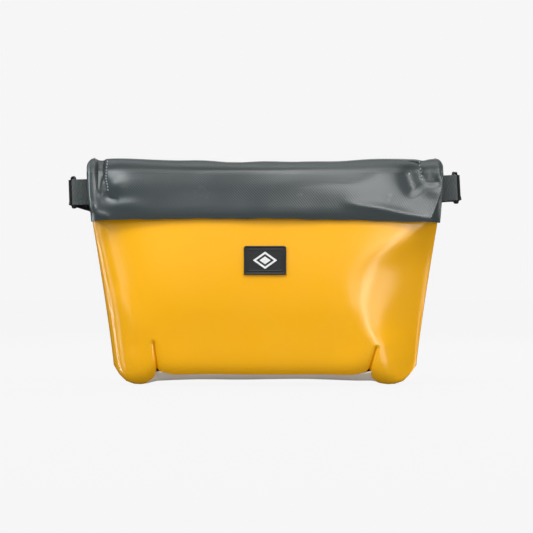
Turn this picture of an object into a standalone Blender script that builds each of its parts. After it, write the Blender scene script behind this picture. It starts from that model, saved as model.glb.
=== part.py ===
"""Fold-over tail bag of coated tarpaulin, with a boxed lid, side tabs and a lash strap behind.

Metres, +Z up. The bag stands on its lower corners at z = 0 and its front faces -Y.
The side seams lie in the plane y = 0, and the width runs along X.
"""

import math

import bmesh
import bpy
from mathutils import Matrix, Vector

# Bag body
HALF_WIDTH_NECK = 0.1692
HALF_WIDTH_BASE = 0.1483
NECK_Z = 0.159
MOUTH_Z = 0.210
BELLY_Z = 0.070
FLOOR_CURVE_Z = 0.045
DEPTH_BELLY = 0.0475
DEPTH_MOUTH = 0.0225
CORNER_Z = 0.018
CORNER_X = 0.024
BASE_LIFT = 0.006
FOOT_FLATTENING = 0.0008
WALL = 0.0016
GAP = 0.0003
COLUMNS = 32
NECK_ROWS = 12
FLOOR_ROWS = 9
BASE_EDGE_DEG = 50.0
DART_K = 0.5

# Lid
LID_HALF_WIDTH = 0.1743
LID_TOP_Z = 0.2195
LID_HEM_Z = 0.1600
LID_STANDOFF = 0.0046
LID_WALL = 0.0015
LID_BACK_Y = 0.0240
LID_EDGE = 0.0085
LID_TOP_OVERHANG_Z = 0.2135
LID_CLEAR = 0.2
LID_RETURN_Y = -0.0034
LID_HINGE = Vector((0.0, 0.0220, 0.2140))
TAPE = 0.0012
THIN_TAPE = 0.0009

# Closure and stiffeners
LOOPS_Z = (0.1715, 0.1915)
LOOPS_SHARE = 0.62
HOOKS_Z = (0.1720, 0.1910)
HOOKS_SHARE = 0.60
LID_HEM_TAPE_Z = (0.1612, 0.1692)
MOUTH_TAPE_HEIGHT = 0.0125
SEAM_TAPE_WIDTH = 0.0050
SEAM_TAPE_INSET = 0.0065
SEAM_TAPE_Z = (0.030, 0.195)
BASE_BOARD = ((-0.096, -0.030, 0.0092), (0.096, 0.030, 0.0114))
LID_BOARD = ((-0.150, -0.0180, 0.2166), (0.150, 0.0140, 0.2176))

# Label
LABEL_WIDTH = 0.041
LABEL_HEIGHT = 0.028
LABEL_Z = 0.1212
LABEL_THICK = 0.0018
EMBLEM_THICK = 0.0006
EMBLEM_HALF = 0.0075
EMBLEM_SHARE = 0.44

# Webbing and hardware
WEBBING = 0.025
TAB_THICK = 0.0015
STRAP_THICK = 0.0016
RING_X = {"left": 0.1860, "right": 0.1850}
RING_Z = {"left": 0.1880, "right": 0.1925}
RING_TILT_DEG = {"left": -2.0, "right": 3.0}
RING_TURN_DEG = 23.0
RING_LENGTH = 0.0087
RING_HALF_WIDTH = 0.0145
RING_BAR = 0.0014
RING_CORNER = 0.0016
TURN_GAP = 0.0004
TAB_SEAM_GAP = 0.0012
TAB_LAYER_Y = 0.0014
FOLD_LEG = 0.0040
STRAP_Z = 0.165
KEEPER_X = 0.112
KEEPER_WIDTH = 0.020
KEEPER_HALF_HEIGHT = 0.024

# Side-release buckle in the strap
BUCKLE_Y = 0.0425
BUCKLE_HALF_THICK = 0.0045
BUCKLE_HALF_WIDTH = 0.0165
FEMALE_X = (-0.034, 0.002)
MALE_X = (0.0026, 0.030)
BAR_WIDTH = 0.003
BAR_HALF_THICK = 0.0015
PRONG_HINGE_X = 0.0022
PRONG_HINGE_Z = 0.0090

SIDES = {"left": -1.0, "right": 1.0}
FRONT = -1.0
BACK = 1.0
BOTH = 0.0


def clear_scene():
    for existing in list(bpy.data.objects):
        bpy.data.objects.remove(existing, do_unlink=True)


def material(name, colour, roughness, metallic=0.0):
    made = bpy.data.materials.new(name)
    made.use_nodes = True
    shader = made.node_tree.nodes["Principled BSDF"]
    shader.inputs["Base Color"].default_value = (*colour, 1.0)
    shader.inputs["Roughness"].default_value = roughness
    shader.inputs["Metallic"].default_value = metallic
    made.diffuse_color = (*colour, 1.0)
    return made


def pivot_empty(name, place):
    empty = bpy.data.objects.new(name, None)
    empty.location = place
    empty.empty_display_size = 0.01
    bpy.context.scene.collection.objects.link(empty)
    return empty


def finish(name, mesh_data, finish_material, pivot=None, smooth_deg=35.0):
    """Makes a named object from a bmesh in world coordinates, under its joint's empty if it moves."""
    bmesh.ops.recalc_face_normals(mesh_data, faces=mesh_data.faces)
    mesh = bpy.data.meshes.new(name)
    if pivot is not None:
        bmesh.ops.translate(mesh_data, verts=mesh_data.verts, vec=-pivot.location)
    mesh_data.to_mesh(mesh)
    mesh_data.free()
    mesh.materials.append(finish_material)
    mesh.shade_smooth()
    mesh.set_sharp_from_angle(angle=math.radians(smooth_deg))
    made = bpy.data.objects.new(name, mesh)
    made.parent = pivot
    bpy.context.scene.collection.objects.link(made)
    return made


# Curved walls -------------------------------------------------------------------------------------


def smooth_step(value, low, high):
    t = min(max((value - low) / (high - low), 0.0), 1.0)
    return t * t * (3.0 - 2.0 * t)


def half_width(z):
    """Half width at the side seams, before the lower corners are rounded off."""
    t = min(max((z - CORNER_Z) / (NECK_Z - CORNER_Z), 0.0), 1.0)
    return HALF_WIDTH_BASE + (HALF_WIDTH_NECK - HALF_WIDTH_BASE) * t**1.15


def half_depth(z):
    """Half depth of the bag on its centre line."""
    t = max((z - BELLY_Z) / (MOUTH_Z - BELLY_Z), 0.0)
    return DEPTH_BELLY - (DEPTH_BELLY - DEPTH_MOUTH) * t**1.6


def section_power(z):
    """A low power gives a lens-shaped section at the mouth, a high one a boxy section at the base."""
    t = min(max((MOUTH_Z - z) / (MOUTH_Z - FLOOR_CURVE_Z), 0.0), 1.0)
    return 2.6 + 4.4 * t


def depth_at(u, z):
    return half_depth(z) * math.sqrt(max(1.0 - abs(u) ** section_power(z), 0.0))


def bag_point(u, z, y):
    """Places a point of the bag's skin: u is the share of the half width, y its depth."""
    drop = min(max(1.0 - z / CORNER_Z, 0.0), 1.0)
    rounding = CORNER_X * (1.0 - math.sqrt(1.0 - drop * drop)) * smooth_step(abs(u), 0.68, 1.0)
    return Vector((u * half_width(z) - math.copysign(rounding, u), y, z))


def wall_point(u, z):
    """A point on the front skin above the floor curve."""
    return bag_point(u, z, -depth_at(u, z))


def floor_point(u, angle):
    """A point on the front half of the floor curve: 0 where the wall ends, 90 degrees at the seam."""
    lift = BASE_LIFT + FOOT_FLATTENING
    lowest = lift * (1.0 - smooth_step(abs(u), 0.67, 0.76)) - FOOT_FLATTENING
    across = max(math.cos(angle), 0.0) ** 0.4
    down = math.sin(angle) ** 0.4
    z = max(FLOOR_CURVE_Z - (FLOOR_CURVE_Z - lowest) * down, 0.0)
    return bag_point(u, z, -depth_at(u, FLOOR_CURVE_Z) * across)


def share(k):
    """Column position -1..1 to share of the half width, closer together near the side seams."""
    return math.sin(0.5 * math.pi * k)


def normals_of(points):
    """Outward unit normals of a grid of points whose rows run downwards."""
    rows, columns = len(points), len(points[0])
    found = []
    for r in range(rows):
        line = []
        for c in range(columns):
            across = points[r][min(c + 1, columns - 1)] - points[r][max(c - 1, 0)]
            along = points[min(r + 1, rows - 1)][c] - points[max(r - 1, 0)][c]
            line.append(along.cross(across).normalized())
        found.append(line)
    for r, next_r in ((0, 1), (rows - 1, rows - 2)):
        for c, next_c in ((0, 1), (columns - 1, columns - 2)):
            found[r][c] = (found[next_r][c] + found[r][next_c]).normalized()
    return found


def slab(points, near, far, keep=lambda r, c: True, side=FRONT):
    """A closed wall between two offsets of a grid of points, with the cells that keep() allows.

    A front or back wall stops just short of the plane of the side seams.
    """
    normals = normals_of(points)
    rows, columns = len(points), len(points[0])
    made = bmesh.new()
    found = {}

    def corner(r, c, layer):
        if (r, c, layer) not in found:
            place = points[r][c] + normals[r][c] * (near, far)[layer]
            if side != BOTH:
                place.y = side * (0.5 * GAP - min(place.y, 0.0))
            found[r, c, layer] = made.verts.new(place)
        return found[r, c, layer]

    def kept(r, c):
        return 0 <= r < rows - 1 and 0 <= c < columns - 1 and keep(r, c)

    for r in range(rows - 1):
        for c in range(columns - 1):
            if not kept(r, c):
                continue
            loop = [(r, c), (r, c + 1), (r + 1, c + 1), (r + 1, c)]
            made.faces.new([corner(*p, 0) for p in loop])
            made.faces.new([corner(*p, 1) for p in reversed(loop)])
            beside = [(r - 1, c), (r, c + 1), (r + 1, c), (r, c - 1)]
            for edge in range(4):
                if not kept(*beside[edge]):
                    a, b = loop[edge], loop[(edge + 1) % 4]
                    made.faces.new([corner(*a, 0), corner(*a, 1), corner(*b, 1), corner(*b, 0)])
    return made


def body_grid():
    """The front skin from the mouth down to the bottom seam, as rows of points."""
    shares = [share(-1.0 + 2.0 * c / COLUMNS) for c in range(COLUMNS + 1)]
    rows = []
    for r in range(NECK_ROWS):
        z = MOUTH_Z - (MOUTH_Z - FLOOR_CURVE_Z) * r / NECK_ROWS
        rows.append([wall_point(u, z) for u in shares])
    for r in range(FLOOR_ROWS + 1):
        angle = 0.5 * math.pi * r / FLOOR_ROWS
        rows.append([floor_point(u, angle) for u in shares])
    return rows


def is_panel_cell(r, c):
    """The front and back panels leave out the base between the darts."""
    edge_row = NECK_ROWS + round(BASE_EDGE_DEG / 90.0 * FLOOR_ROWS)
    middle = -1.0 + 2.0 * (c + 0.5) / COLUMNS
    return r < edge_row or abs(middle) > DART_K


def base_grid():
    """The base strip, from the front panel's lower edge, under the bag, to the back panel's."""
    across = 16
    along = 8
    shares = [share(0.992 * DART_K * (-1.0 + 2.0 * c / across)) for c in range(across + 1)]
    start = math.radians(BASE_EDGE_DEG + 1.0)
    front = []
    for r in range(along + 1):
        angle = start + (0.5 * math.pi - start) * r / along
        front.append([floor_point(u, angle) for u in shares])
    back = [[Vector((p.x, -p.y, p.z)) for p in row] for row in reversed(front[:-1])]
    return front + back


def wall_patch(half_share, low_z, high_z, columns, rows):
    """A grid on the front skin, above the floor curve."""
    heights = [high_z + (low_z - high_z) * r / rows for r in range(rows + 1)]
    shares = [half_share * (-1.0 + 2.0 * c / columns) for c in range(columns + 1)]
    return [[wall_point(u, z) for u in shares] for z in heights]


# Plain solids -------------------------------------------------------------------------------------


def box_mesh(low, high, bevel=0.0, segments=2):
    low, high = Vector(low), Vector(high)
    made = bmesh.new()
    bmesh.ops.create_cube(made, size=1.0)
    for vert in made.verts:
        vert.co = Vector([low[i] + (vert.co[i] + 0.5) * (high[i] - low[i]) for i in range(3)])
    if bevel:
        bmesh.ops.bevel(
            made, geom=made.edges[:], offset=bevel, segments=segments, profile=0.5, affect="EDGES"
        )
    return made


def prism(outline, low_y, high_y):
    """Extrudes an outline in the X-Z plane along Y."""
    made = bmesh.new()
    near = [made.verts.new((x, low_y, z)) for x, z in outline]
    far = [made.verts.new((x, high_y, z)) for x, z in outline]
    made.faces.new(near)
    made.faces.new(list(reversed(far)))
    count = len(outline)
    for i in range(count):
        j = (i + 1) % count
        made.faces.new([near[j], near[i], far[i], far[j]])
    return made


def combine(target, tool_mesh, operation):
    """Applies a Boolean of a box-like tool to an object, as a modifier on the object."""
    mesh = bpy.data.meshes.new(target.name + "_tool")
    bmesh.ops.recalc_face_normals(tool_mesh, faces=tool_mesh.faces)
    if target.parent is not None:
        bmesh.ops.translate(tool_mesh, verts=tool_mesh.verts, vec=-target.parent.location)
    tool_mesh.to_mesh(mesh)
    tool_mesh.free()
    tool = bpy.data.objects.new(target.name + "_tool", mesh)
    tool.parent = target.parent
    tool.hide_render = True
    tool.display_type = "WIRE"
    bpy.context.scene.collection.objects.link(tool)
    modifier = target.modifiers.new(operation.lower(), "BOOLEAN")
    modifier.operation = operation
    modifier.solver = "EXACT"
    modifier.object = tool


# Ribbons ------------------------------------------------------------------------------------------


def smooth_route(points, steps=4):
    """A Catmull-Rom curve through the points."""
    route = [Vector(p) for p in points]
    padded = [2 * route[0] - route[1]] + route + [2 * route[-1] - route[-2]]
    found = []
    for i in range(1, len(padded) - 2):
        before, start, end, after = padded[i - 1 : i + 3]
        for step in range(steps):
            t = step / steps
            found.append(
                0.5
                * (
                    2 * start
                    + (end - before) * t
                    + (2 * before - 5 * start + 4 * end - after) * t**2
                    + (3 * start - before - 3 * end + after) * t**3
                )
            )
    return found + [route[-1]]


def ribbon(route, width, thickness, up=Vector((0.0, 0.0, 1.0))):
    """Flat webbing along a route, its width upright."""
    made = bmesh.new()
    rings = []
    last = len(route) - 1
    for i, place in enumerate(route):
        tangent = (route[min(i + 1, last)] - route[max(i - 1, 0)]).normalized()
        across = (up - tangent * up.dot(tangent)).normalized() * (0.5 * width)
        normal = tangent.cross(across).normalized() * (0.5 * thickness)
        corners = (across + normal, across - normal, -across - normal, -across + normal)
        rings.append([made.verts.new(place + corner) for corner in corners])
    for a, b in zip(rings, rings[1:]):
        for i in range(4):
            j = (i + 1) % 4
            made.faces.new([a[i], a[j], b[j], b[i]])
    made.faces.new(list(reversed(rings[0])))
    made.faces.new(rings[-1])
    return made


def half_turn(centre, radius, start_deg, sweep_deg, steps=6):
    """Points of an arc in the X-Y plane at the centre's height."""
    found = []
    for i in range(steps + 1):
        angle = math.radians(start_deg + sweep_deg * i / steps)
        found.append(centre + Vector((radius * math.cos(angle), radius * math.sin(angle), 0.0)))
    return found


# Sub-parts of the bag -----------------------------------------------------------------------------


def make_body(paint):
    grid = body_grid()
    finish("front_panel", slab(grid, 0.0, -WALL, is_panel_cell), paint["yellow"])
    finish("back_panel", slab(grid, 0.0, -WALL, is_panel_cell, BACK), paint["grey"])
    finish("base_panel", slab(base_grid(), 0.0, -WALL, side=BOTH), paint["light_grey"])
    board = box_mesh(*BASE_BOARD, 0.0008, 1)
    finish("base_board", board, paint["black"])


def make_mouth(paint):
    hem_top = MOUTH_Z - 0.0005
    hem = wall_patch(0.97, hem_top - MOUTH_TAPE_HEIGHT, hem_top, 20, 2)
    inner = -WALL - GAP
    finish("mouth_hem_front", slab(hem, inner, inner - TAPE), paint["grey"])
    finish("mouth_hem_back", slab(hem, inner, inner - TAPE, side=BACK), paint["grey"])
    loops = wall_patch(LOOPS_SHARE, *LOOPS_Z, 16, 3)
    finish("loop_strip", slab(loops, GAP, GAP + TAPE), paint["fastener"])


def make_seam_tape(side, paint):
    sign = SIDES[side]
    low, high = SEAM_TAPE_Z
    heights = [low + (high - low) * i / 8 for i in range(9)]
    route = [Vector((sign * (half_width(z) - SEAM_TAPE_INSET), 0.0, z)) for z in heights]
    tape = ribbon(route, SEAM_TAPE_WIDTH, THIN_TAPE, Vector((0.0, 1.0, 0.0)))
    finish("seam_tape_" + side, tape, paint["grey"])


def make_label(paint):
    half_share = 0.5 * LABEL_WIDTH / half_width(LABEL_Z)
    low, high = LABEL_Z - 0.5 * LABEL_HEIGHT, LABEL_Z + 0.5 * LABEL_HEIGHT
    plate = wall_patch(half_share, low, high, 8, 4)
    finish("label_patch", slab(plate, GAP, GAP + LABEL_THICK), paint["rubber"])
    size = 6
    low, high = LABEL_Z - EMBLEM_HALF, LABEL_Z + EMBLEM_HALF
    patch = wall_patch(half_share * EMBLEM_SHARE, low, high, size, size)
    middle = 0.5 * (size - 1)

    def in_diamond(r, c):
        return 1.6 < abs(r - middle) + abs(c - middle) < 3.6

    base = 2 * GAP + LABEL_THICK
    emblem = slab(patch, base, base + EMBLEM_THICK, in_diamond)
    finish("label_emblem", emblem, paint["white"])


def bar_centre(side):
    """The middle of the ring's inner bar."""
    return Vector((SIDES[side] * RING_X[side], 0.0, RING_Z[side]))


def ring_tilt(side):
    """The slight lean of a ring and of the webbing in it."""
    return Matrix.Rotation(math.radians(-SIDES[side] * RING_TILT_DEG[side]), 4, "Y")


def ring_turn(side):
    """The ring's turn outwards about its inner bar."""
    return Matrix.Rotation(math.radians(-SIDES[side] * RING_TURN_DEG), 4, "Z")


def lean(mesh_data, side):
    """Leans upright webbing with its ring."""
    bmesh.ops.rotate(
        mesh_data, cent=bar_centre(side), matrix=ring_tilt(side).to_3x3(), verts=mesh_data.verts
    )
    return mesh_data


def make_tab(side, paint):
    """A short webbing loop from the side seam round the ring's inner bar."""
    sign = SIDES[side]
    radius = RING_BAR + TURN_GAP + 0.5 * TAB_THICK
    centre = bar_centre(side)
    seam_x = sign * (HALF_WIDTH_NECK + TAB_SEAM_GAP)
    turn = half_turn(centre, radius, -90.0, sign * 180.0, 8)
    route = [
        Vector((seam_x, -TAB_LAYER_Y, RING_Z[side])),
        Vector((seam_x + sign * 0.006, -TAB_LAYER_Y - 0.0005, RING_Z[side])),
        *turn,
        Vector((seam_x + sign * 0.006, TAB_LAYER_Y + 0.0005, RING_Z[side])),
        Vector((seam_x, TAB_LAYER_Y, RING_Z[side])),
    ]
    finish("tab_" + side, lean(ribbon(route, WEBBING, TAB_THICK), side), paint["webbing_grey"])


def make_ring(side, pivot, paint):
    """A rectangular loop of round bar, swept along a rounded rectangle."""
    corner = RING_CORNER
    sides = 10
    centres = [
        (RING_LENGTH - corner, RING_HALF_WIDTH - corner, 0.0),
        (corner, RING_HALF_WIDTH - corner, 90.0),
        (corner, -RING_HALF_WIDTH + corner, 180.0),
        (RING_LENGTH - corner, -RING_HALF_WIDTH + corner, 270.0),
    ]
    made = bmesh.new()
    place = Matrix.Translation(bar_centre(side)) @ ring_tilt(side) @ ring_turn(side)
    loops = []
    for along, height, start in centres:
        for step in range(4):
            angle = math.radians(start + 30.0 * step)
            out = Vector((0.0, math.cos(angle), math.sin(angle)))
            middle = Vector((0.0, along, height)) + out * corner
            loop = []
            for i in range(sides):
                round_angle = 2.0 * math.pi * i / sides
                offset = out * math.cos(round_angle) + Vector((math.sin(round_angle), 0.0, 0.0))
                loop.append(made.verts.new(place @ (middle + offset * RING_BAR)))
            loops.append(loop)
    for a, b in zip(loops, loops[1:] + loops[:1]):
        for i in range(sides):
            j = (i + 1) % sides
            made.faces.new([a[i], a[j], b[j], b[i]])
    finish("ring_" + side, made, paint["gunmetal"], pivot)


def strap_start(side):
    """Where the fixed strap takes over from the fold that turns with the ring."""
    sign = SIDES[side]
    return Vector((sign * 0.1805, 0.0150, RING_Z[side] - 0.003))


def make_strap_end(side, pivot, paint):
    """The strap's fold round the ring's outer bar, open towards the bag's back."""
    sign = SIDES[side]
    radius = RING_BAR + TURN_GAP + 0.5 * STRAP_THICK
    outer_bar = bar_centre(side) + ring_turn(side) @ Vector((0.0, RING_LENGTH, 0.0))
    lead = (strap_start(side) - outer_bar).normalized()
    heading = math.degrees(math.atan2(lead.y, lead.x))
    turn = half_turn(outer_bar, radius, heading + sign * 90.0, sign * 180.0, 8)
    route = [turn[0] + lead * FOLD_LEG, *turn, turn[-1] + lead * FOLD_LEG]
    fold = lean(ribbon(route, WEBBING, STRAP_THICK), side)
    finish("strap_end_" + side, fold, paint["webbing_black"], pivot)


def back_route(side):
    """Centre line of the fixed strap, from the ring to near the buckle."""
    sign = SIDES[side]
    start = strap_start(side)
    inner = [
        (0.1700, 0.0225, STRAP_Z + 0.0160),
        (0.1550, 0.0285, STRAP_Z + 0.0120),
        (0.1350, 0.0325, STRAP_Z + 0.0065),
        (KEEPER_X, 0.0345, STRAP_Z + 0.0030),
        (0.0900, 0.0361, STRAP_Z + 0.0015),
        (0.0620, 0.0375, STRAP_Z + 0.0005),
    ]
    return [start] + [Vector((sign * x, y, z)) for x, y, z in inner]


def bar_turn(bar_x, facing):
    """Webbing round a buckle's bar, from its inner face to its outer face."""
    radius = BAR_HALF_THICK + TURN_GAP + 0.5 * STRAP_THICK
    centre = Vector((bar_x, BUCKLE_Y, STRAP_Z))
    return half_turn(centre, radius, -90.0, facing * 180.0, 6)


def make_straps(male_pivot, paint):
    right = smooth_route(back_route("right"))
    finish("strap_right", ribbon(right, WEBBING, STRAP_THICK), paint["webbing_black"])
    bar_x = FEMALE_X[0] + 0.5 * BAR_WIDTH
    to_buckle = [Vector((-0.0500, 0.0384, STRAP_Z)), Vector((-0.0400, 0.0393, STRAP_Z))]
    sewn_back = [
        Vector((-0.0395, 0.0443, STRAP_Z)),
        Vector((-0.0480, 0.0424, STRAP_Z)),
        Vector((-0.0580, 0.0404, STRAP_Z + 0.0004)),
    ]
    left = smooth_route(back_route("left") + to_buckle)
    left = left + bar_turn(bar_x, 1.0) + sewn_back
    finish("strap_left", ribbon(left, WEBBING, STRAP_THICK), paint["webbing_black"])
    male_bar_x = MALE_X[1] - 0.5 * BAR_WIDTH
    free_tail = [
        Vector((0.0400, 0.0438, STRAP_Z)),
        Vector((0.0520, 0.0425, STRAP_Z)),
        Vector((0.0660, 0.0412, STRAP_Z)),
    ]
    tail = [Vector((0.0350, 0.0399, STRAP_Z))] + bar_turn(male_bar_x, -1.0) + free_tail
    finish("strap_tail", ribbon(tail, WEBBING, STRAP_THICK), paint["webbing_black"], male_pivot)


def make_keeper(side, paint):
    """A webbing loop sewn to the back panel above and below the strap."""
    sign = SIDES[side]
    middle_z = STRAP_Z + 0.0030
    hump_y = 0.0355 + 0.5 * STRAP_THICK + 0.5 * TAPE + GAP
    route = []
    steps = 14
    for i in range(steps + 1):
        z = middle_z + KEEPER_HALF_HEIGHT * (-1.0 + 2.0 * i / steps)
        skin_y = depth_at((KEEPER_X - 0.5 * KEEPER_WIDTH) / half_width(z), z) + 0.0013
        lift = 1.0 - smooth_step(abs(z - middle_z), 0.0140, 0.0195)
        route.append(Vector((sign * KEEPER_X, skin_y + (hump_y - skin_y) * lift, z)))
    made = ribbon(route, KEEPER_WIDTH, TAPE, Vector((1.0, 0.0, 0.0)))
    finish("keeper_" + side, made, paint["webbing_grey"])


def make_female(paint):
    low, high = FEMALE_X
    y_low, y_high = BUCKLE_Y - BUCKLE_HALF_THICK, BUCKLE_Y + BUCKLE_HALF_THICK
    z_low, z_high = STRAP_Z - BUCKLE_HALF_WIDTH, STRAP_Z + BUCKLE_HALF_WIDTH
    shell = finish(
        "buckle_female", box_mesh((low, y_low, z_low), (high, y_high, z_high), 0.0012), paint["buckle"]
    )
    plate = 0.0015
    cavity = ((low + 0.018, y_low + plate, z_low - 0.01), (high + 0.01, y_high - plate, z_high + 0.01))
    combine(shell, box_mesh(*cavity), "DIFFERENCE")
    add_web_bar(shell, low, 1.0, y_low, y_high)


def add_web_bar(target, end_x, facing, y_low, y_high):
    """Opens the end of a buckle half for the webbing and sets a bar across it."""
    slot_half = 0.0132
    slot_length = 0.0095
    outside = end_x - facing * 0.01
    inside = end_x + facing * slot_length
    x_low, x_high = min(outside, inside), max(outside, inside)
    slot = ((x_low, y_low - 0.01, STRAP_Z - slot_half), (x_high, y_high + 0.01, STRAP_Z + slot_half))
    combine(target, box_mesh(*slot), "DIFFERENCE")
    near, far = end_x + facing * 0.0002, end_x + facing * BAR_WIDTH
    x_low, x_high = min(near, far), max(near, far)
    bar_half = slot_half + 0.0012
    low = (x_low, BUCKLE_Y - BAR_HALF_THICK, STRAP_Z - bar_half)
    high = (x_high, BUCKLE_Y + BAR_HALF_THICK, STRAP_Z + bar_half)
    combine(target, box_mesh(low, high, 0.0007, 1), "UNION")


def make_male(pivot, paint):
    low, high = MALE_X
    half_thick = 0.0030
    y_low, y_high = BUCKLE_Y - half_thick, BUCKLE_Y + half_thick
    z_low, z_high = STRAP_Z - BUCKLE_HALF_WIDTH, STRAP_Z + BUCKLE_HALF_WIDTH
    frame = finish(
        "buckle_male", box_mesh((low, y_low, z_low), (high, y_high, z_high), 0.0010), paint["buckle"], pivot
    )
    tongue_half = 0.0024
    tongue = (
        (-0.0130, BUCKLE_Y - 0.0020, STRAP_Z - tongue_half),
        (low + 0.003, BUCKLE_Y + 0.0020, STRAP_Z + tongue_half),
    )
    combine(frame, box_mesh(*tongue, 0.0005, 1), "UNION")
    add_web_bar(frame, high, -1.0, y_low, y_high)


def make_prong(name, sign, pivot, paint):
    """A spring arm with a thumb pad, drawn for the upper one and mirrored for the lower."""
    outline = [
        (PRONG_HINGE_X, 0.0075),
        (PRONG_HINGE_X, 0.0105),
        (-0.0030, 0.0108),
        (-0.0042, 0.0150),
        (-0.0108, 0.0152),
        (-0.0138, 0.0118),
        (-0.0142, 0.0088),
        (-0.0040, 0.0076),
    ]
    made = prism([(x, STRAP_Z + sign * z) for x, z in outline], BUCKLE_Y - 0.0022, BUCKLE_Y + 0.0022)
    finish(name, made, paint["buckle"], pivot)


# Lid ----------------------------------------------------------------------------------------------


def lid_box(half_x, front_offset, back_y, low_z, high_z, edge):
    """A rounded box whose front follows the bag's front at the given distance."""
    depth = 0.030
    made = box_mesh((-half_x, -depth, low_z), (half_x, back_y, high_z), edge, 4)
    for height in (0.165, 0.175, 0.185, 0.195, 0.205):
        bmesh.ops.bisect_plane(
            made,
            geom=made.verts[:] + made.edges[:] + made.faces[:],
            plane_co=(0.0, 0.0, height),
            plane_no=(0.0, 0.0, 1.0),
        )
    for vert in made.verts:
        if vert.co.y < 0.0:
            vert.co.y *= (half_depth(min(vert.co.z, MOUTH_Z)) + front_offset) / depth
    bmesh.ops.triangulate(made, faces=made.faces)
    return made


def make_lid(pivot, paint):
    edge = LID_EDGE
    outer = lid_box(LID_HALF_WIDTH, LID_STANDOFF, LID_BACK_Y, 0.140, LID_TOP_Z, edge)
    lid = finish("lid_panel", outer, paint["grey"], pivot)
    inner_half = LID_HALF_WIDTH - LID_WALL
    inner_top = LID_TOP_Z - LID_WALL
    inner = lid_box(inner_half, LID_STANDOFF - LID_WALL, LID_BACK_Y + 0.02, 0.130, inner_top, edge - LID_WALL)
    combine(lid, inner, "DIFFERENCE")
    below = ((-LID_CLEAR, -LID_CLEAR, 0.12), (LID_CLEAR, LID_CLEAR, LID_HEM_Z))
    combine(lid, box_mesh(*below), "DIFFERENCE")
    behind = ((-LID_CLEAR, LID_RETURN_Y, 0.11), (LID_CLEAR, LID_CLEAR, LID_TOP_OVERHANG_Z))
    combine(lid, box_mesh(*behind), "DIFFERENCE")
    hook_near = 2 * GAP + TAPE
    hooks = wall_patch(HOOKS_SHARE, *HOOKS_Z, 16, 3)
    finish("hook_strip", slab(hooks, hook_near, hook_near + THIN_TAPE), paint["fastener"], pivot)
    hem = wall_patch(0.86, *LID_HEM_TAPE_Z, 20, 1)
    hem_near = LID_STANDOFF - LID_WALL - GAP - 0.0010
    finish("lid_hem", slab(hem, hem_near, hem_near + THIN_TAPE), paint["grey"], pivot)
    finish("lid_stiffener", box_mesh(*LID_BOARD), paint["black"], pivot)


def main():
    clear_scene()
    paint = {
        "yellow": material("tarpaulin_yellow", (0.905, 0.455, 0.024), 0.28),
        "grey": material("tarpaulin_grey", (0.095, 0.112, 0.115), 0.38),
        "light_grey": material("tarpaulin_light", (0.34, 0.30, 0.26), 0.45),
        "black": material("board_black", (0.02, 0.02, 0.02), 0.6),
        "fastener": material("hook_and_loop", (0.03, 0.032, 0.034), 0.9),
        "rubber": material("label_rubber", (0.045, 0.047, 0.048), 0.55),
        "white": material("label_print", (0.85, 0.85, 0.85), 0.5),
        "webbing_grey": material("webbing_grey", (0.10, 0.12, 0.12), 0.75),
        "webbing_black": material("webbing_black", (0.012, 0.012, 0.013), 0.8),
        "gunmetal": material("ring_dark", (0.03, 0.032, 0.034), 0.3),
        "buckle": material("buckle_plastic", (0.012, 0.012, 0.012), 0.4),
    }
    lid_pivot = pivot_empty("lid_hinge", LID_HINGE)
    male_pivot = pivot_empty("buckle_slide", (MALE_X[0], BUCKLE_Y, STRAP_Z))
    make_body(paint)
    make_mouth(paint)
    make_label(paint)
    for side in SIDES:
        ring_pivot = pivot_empty("ring_hinge_" + side, bar_centre(side))
        make_seam_tape(side, paint)
        make_tab(side, paint)
        make_keeper(side, paint)
        make_ring(side, ring_pivot, paint)
        make_strap_end(side, ring_pivot, paint)
    make_straps(male_pivot, paint)
    make_female(paint)
    make_male(male_pivot, paint)
    for name, sign in (("prong_upper", 1.0), ("prong_lower", -1.0)):
        hinge = pivot_empty(name + "_hinge", (PRONG_HINGE_X, BUCKLE_Y, STRAP_Z + sign * PRONG_HINGE_Z))
        make_prong(name, sign, hinge, paint)
    make_lid(lid_pivot, paint)


main()
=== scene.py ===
import math

import bmesh
import bpy
import numpy as np
from mathutils import Matrix, Vector
from mathutils.bvhtree import BVHTree


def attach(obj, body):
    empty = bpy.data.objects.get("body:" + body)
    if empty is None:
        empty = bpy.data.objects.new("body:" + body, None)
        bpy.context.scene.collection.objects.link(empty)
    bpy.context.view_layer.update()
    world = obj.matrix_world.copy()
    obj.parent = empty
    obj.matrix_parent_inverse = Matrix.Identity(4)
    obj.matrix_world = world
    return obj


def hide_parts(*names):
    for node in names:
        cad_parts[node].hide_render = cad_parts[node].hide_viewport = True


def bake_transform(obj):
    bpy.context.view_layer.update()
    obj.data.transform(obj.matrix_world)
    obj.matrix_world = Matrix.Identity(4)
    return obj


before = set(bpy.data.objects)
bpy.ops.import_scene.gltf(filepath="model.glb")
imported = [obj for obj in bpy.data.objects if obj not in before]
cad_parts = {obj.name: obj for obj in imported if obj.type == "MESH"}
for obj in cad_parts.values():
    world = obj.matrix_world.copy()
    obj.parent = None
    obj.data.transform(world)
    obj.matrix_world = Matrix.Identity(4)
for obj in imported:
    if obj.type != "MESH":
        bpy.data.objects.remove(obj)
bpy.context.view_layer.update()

# Sizes of the frame that the looks follow, in metres

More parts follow.
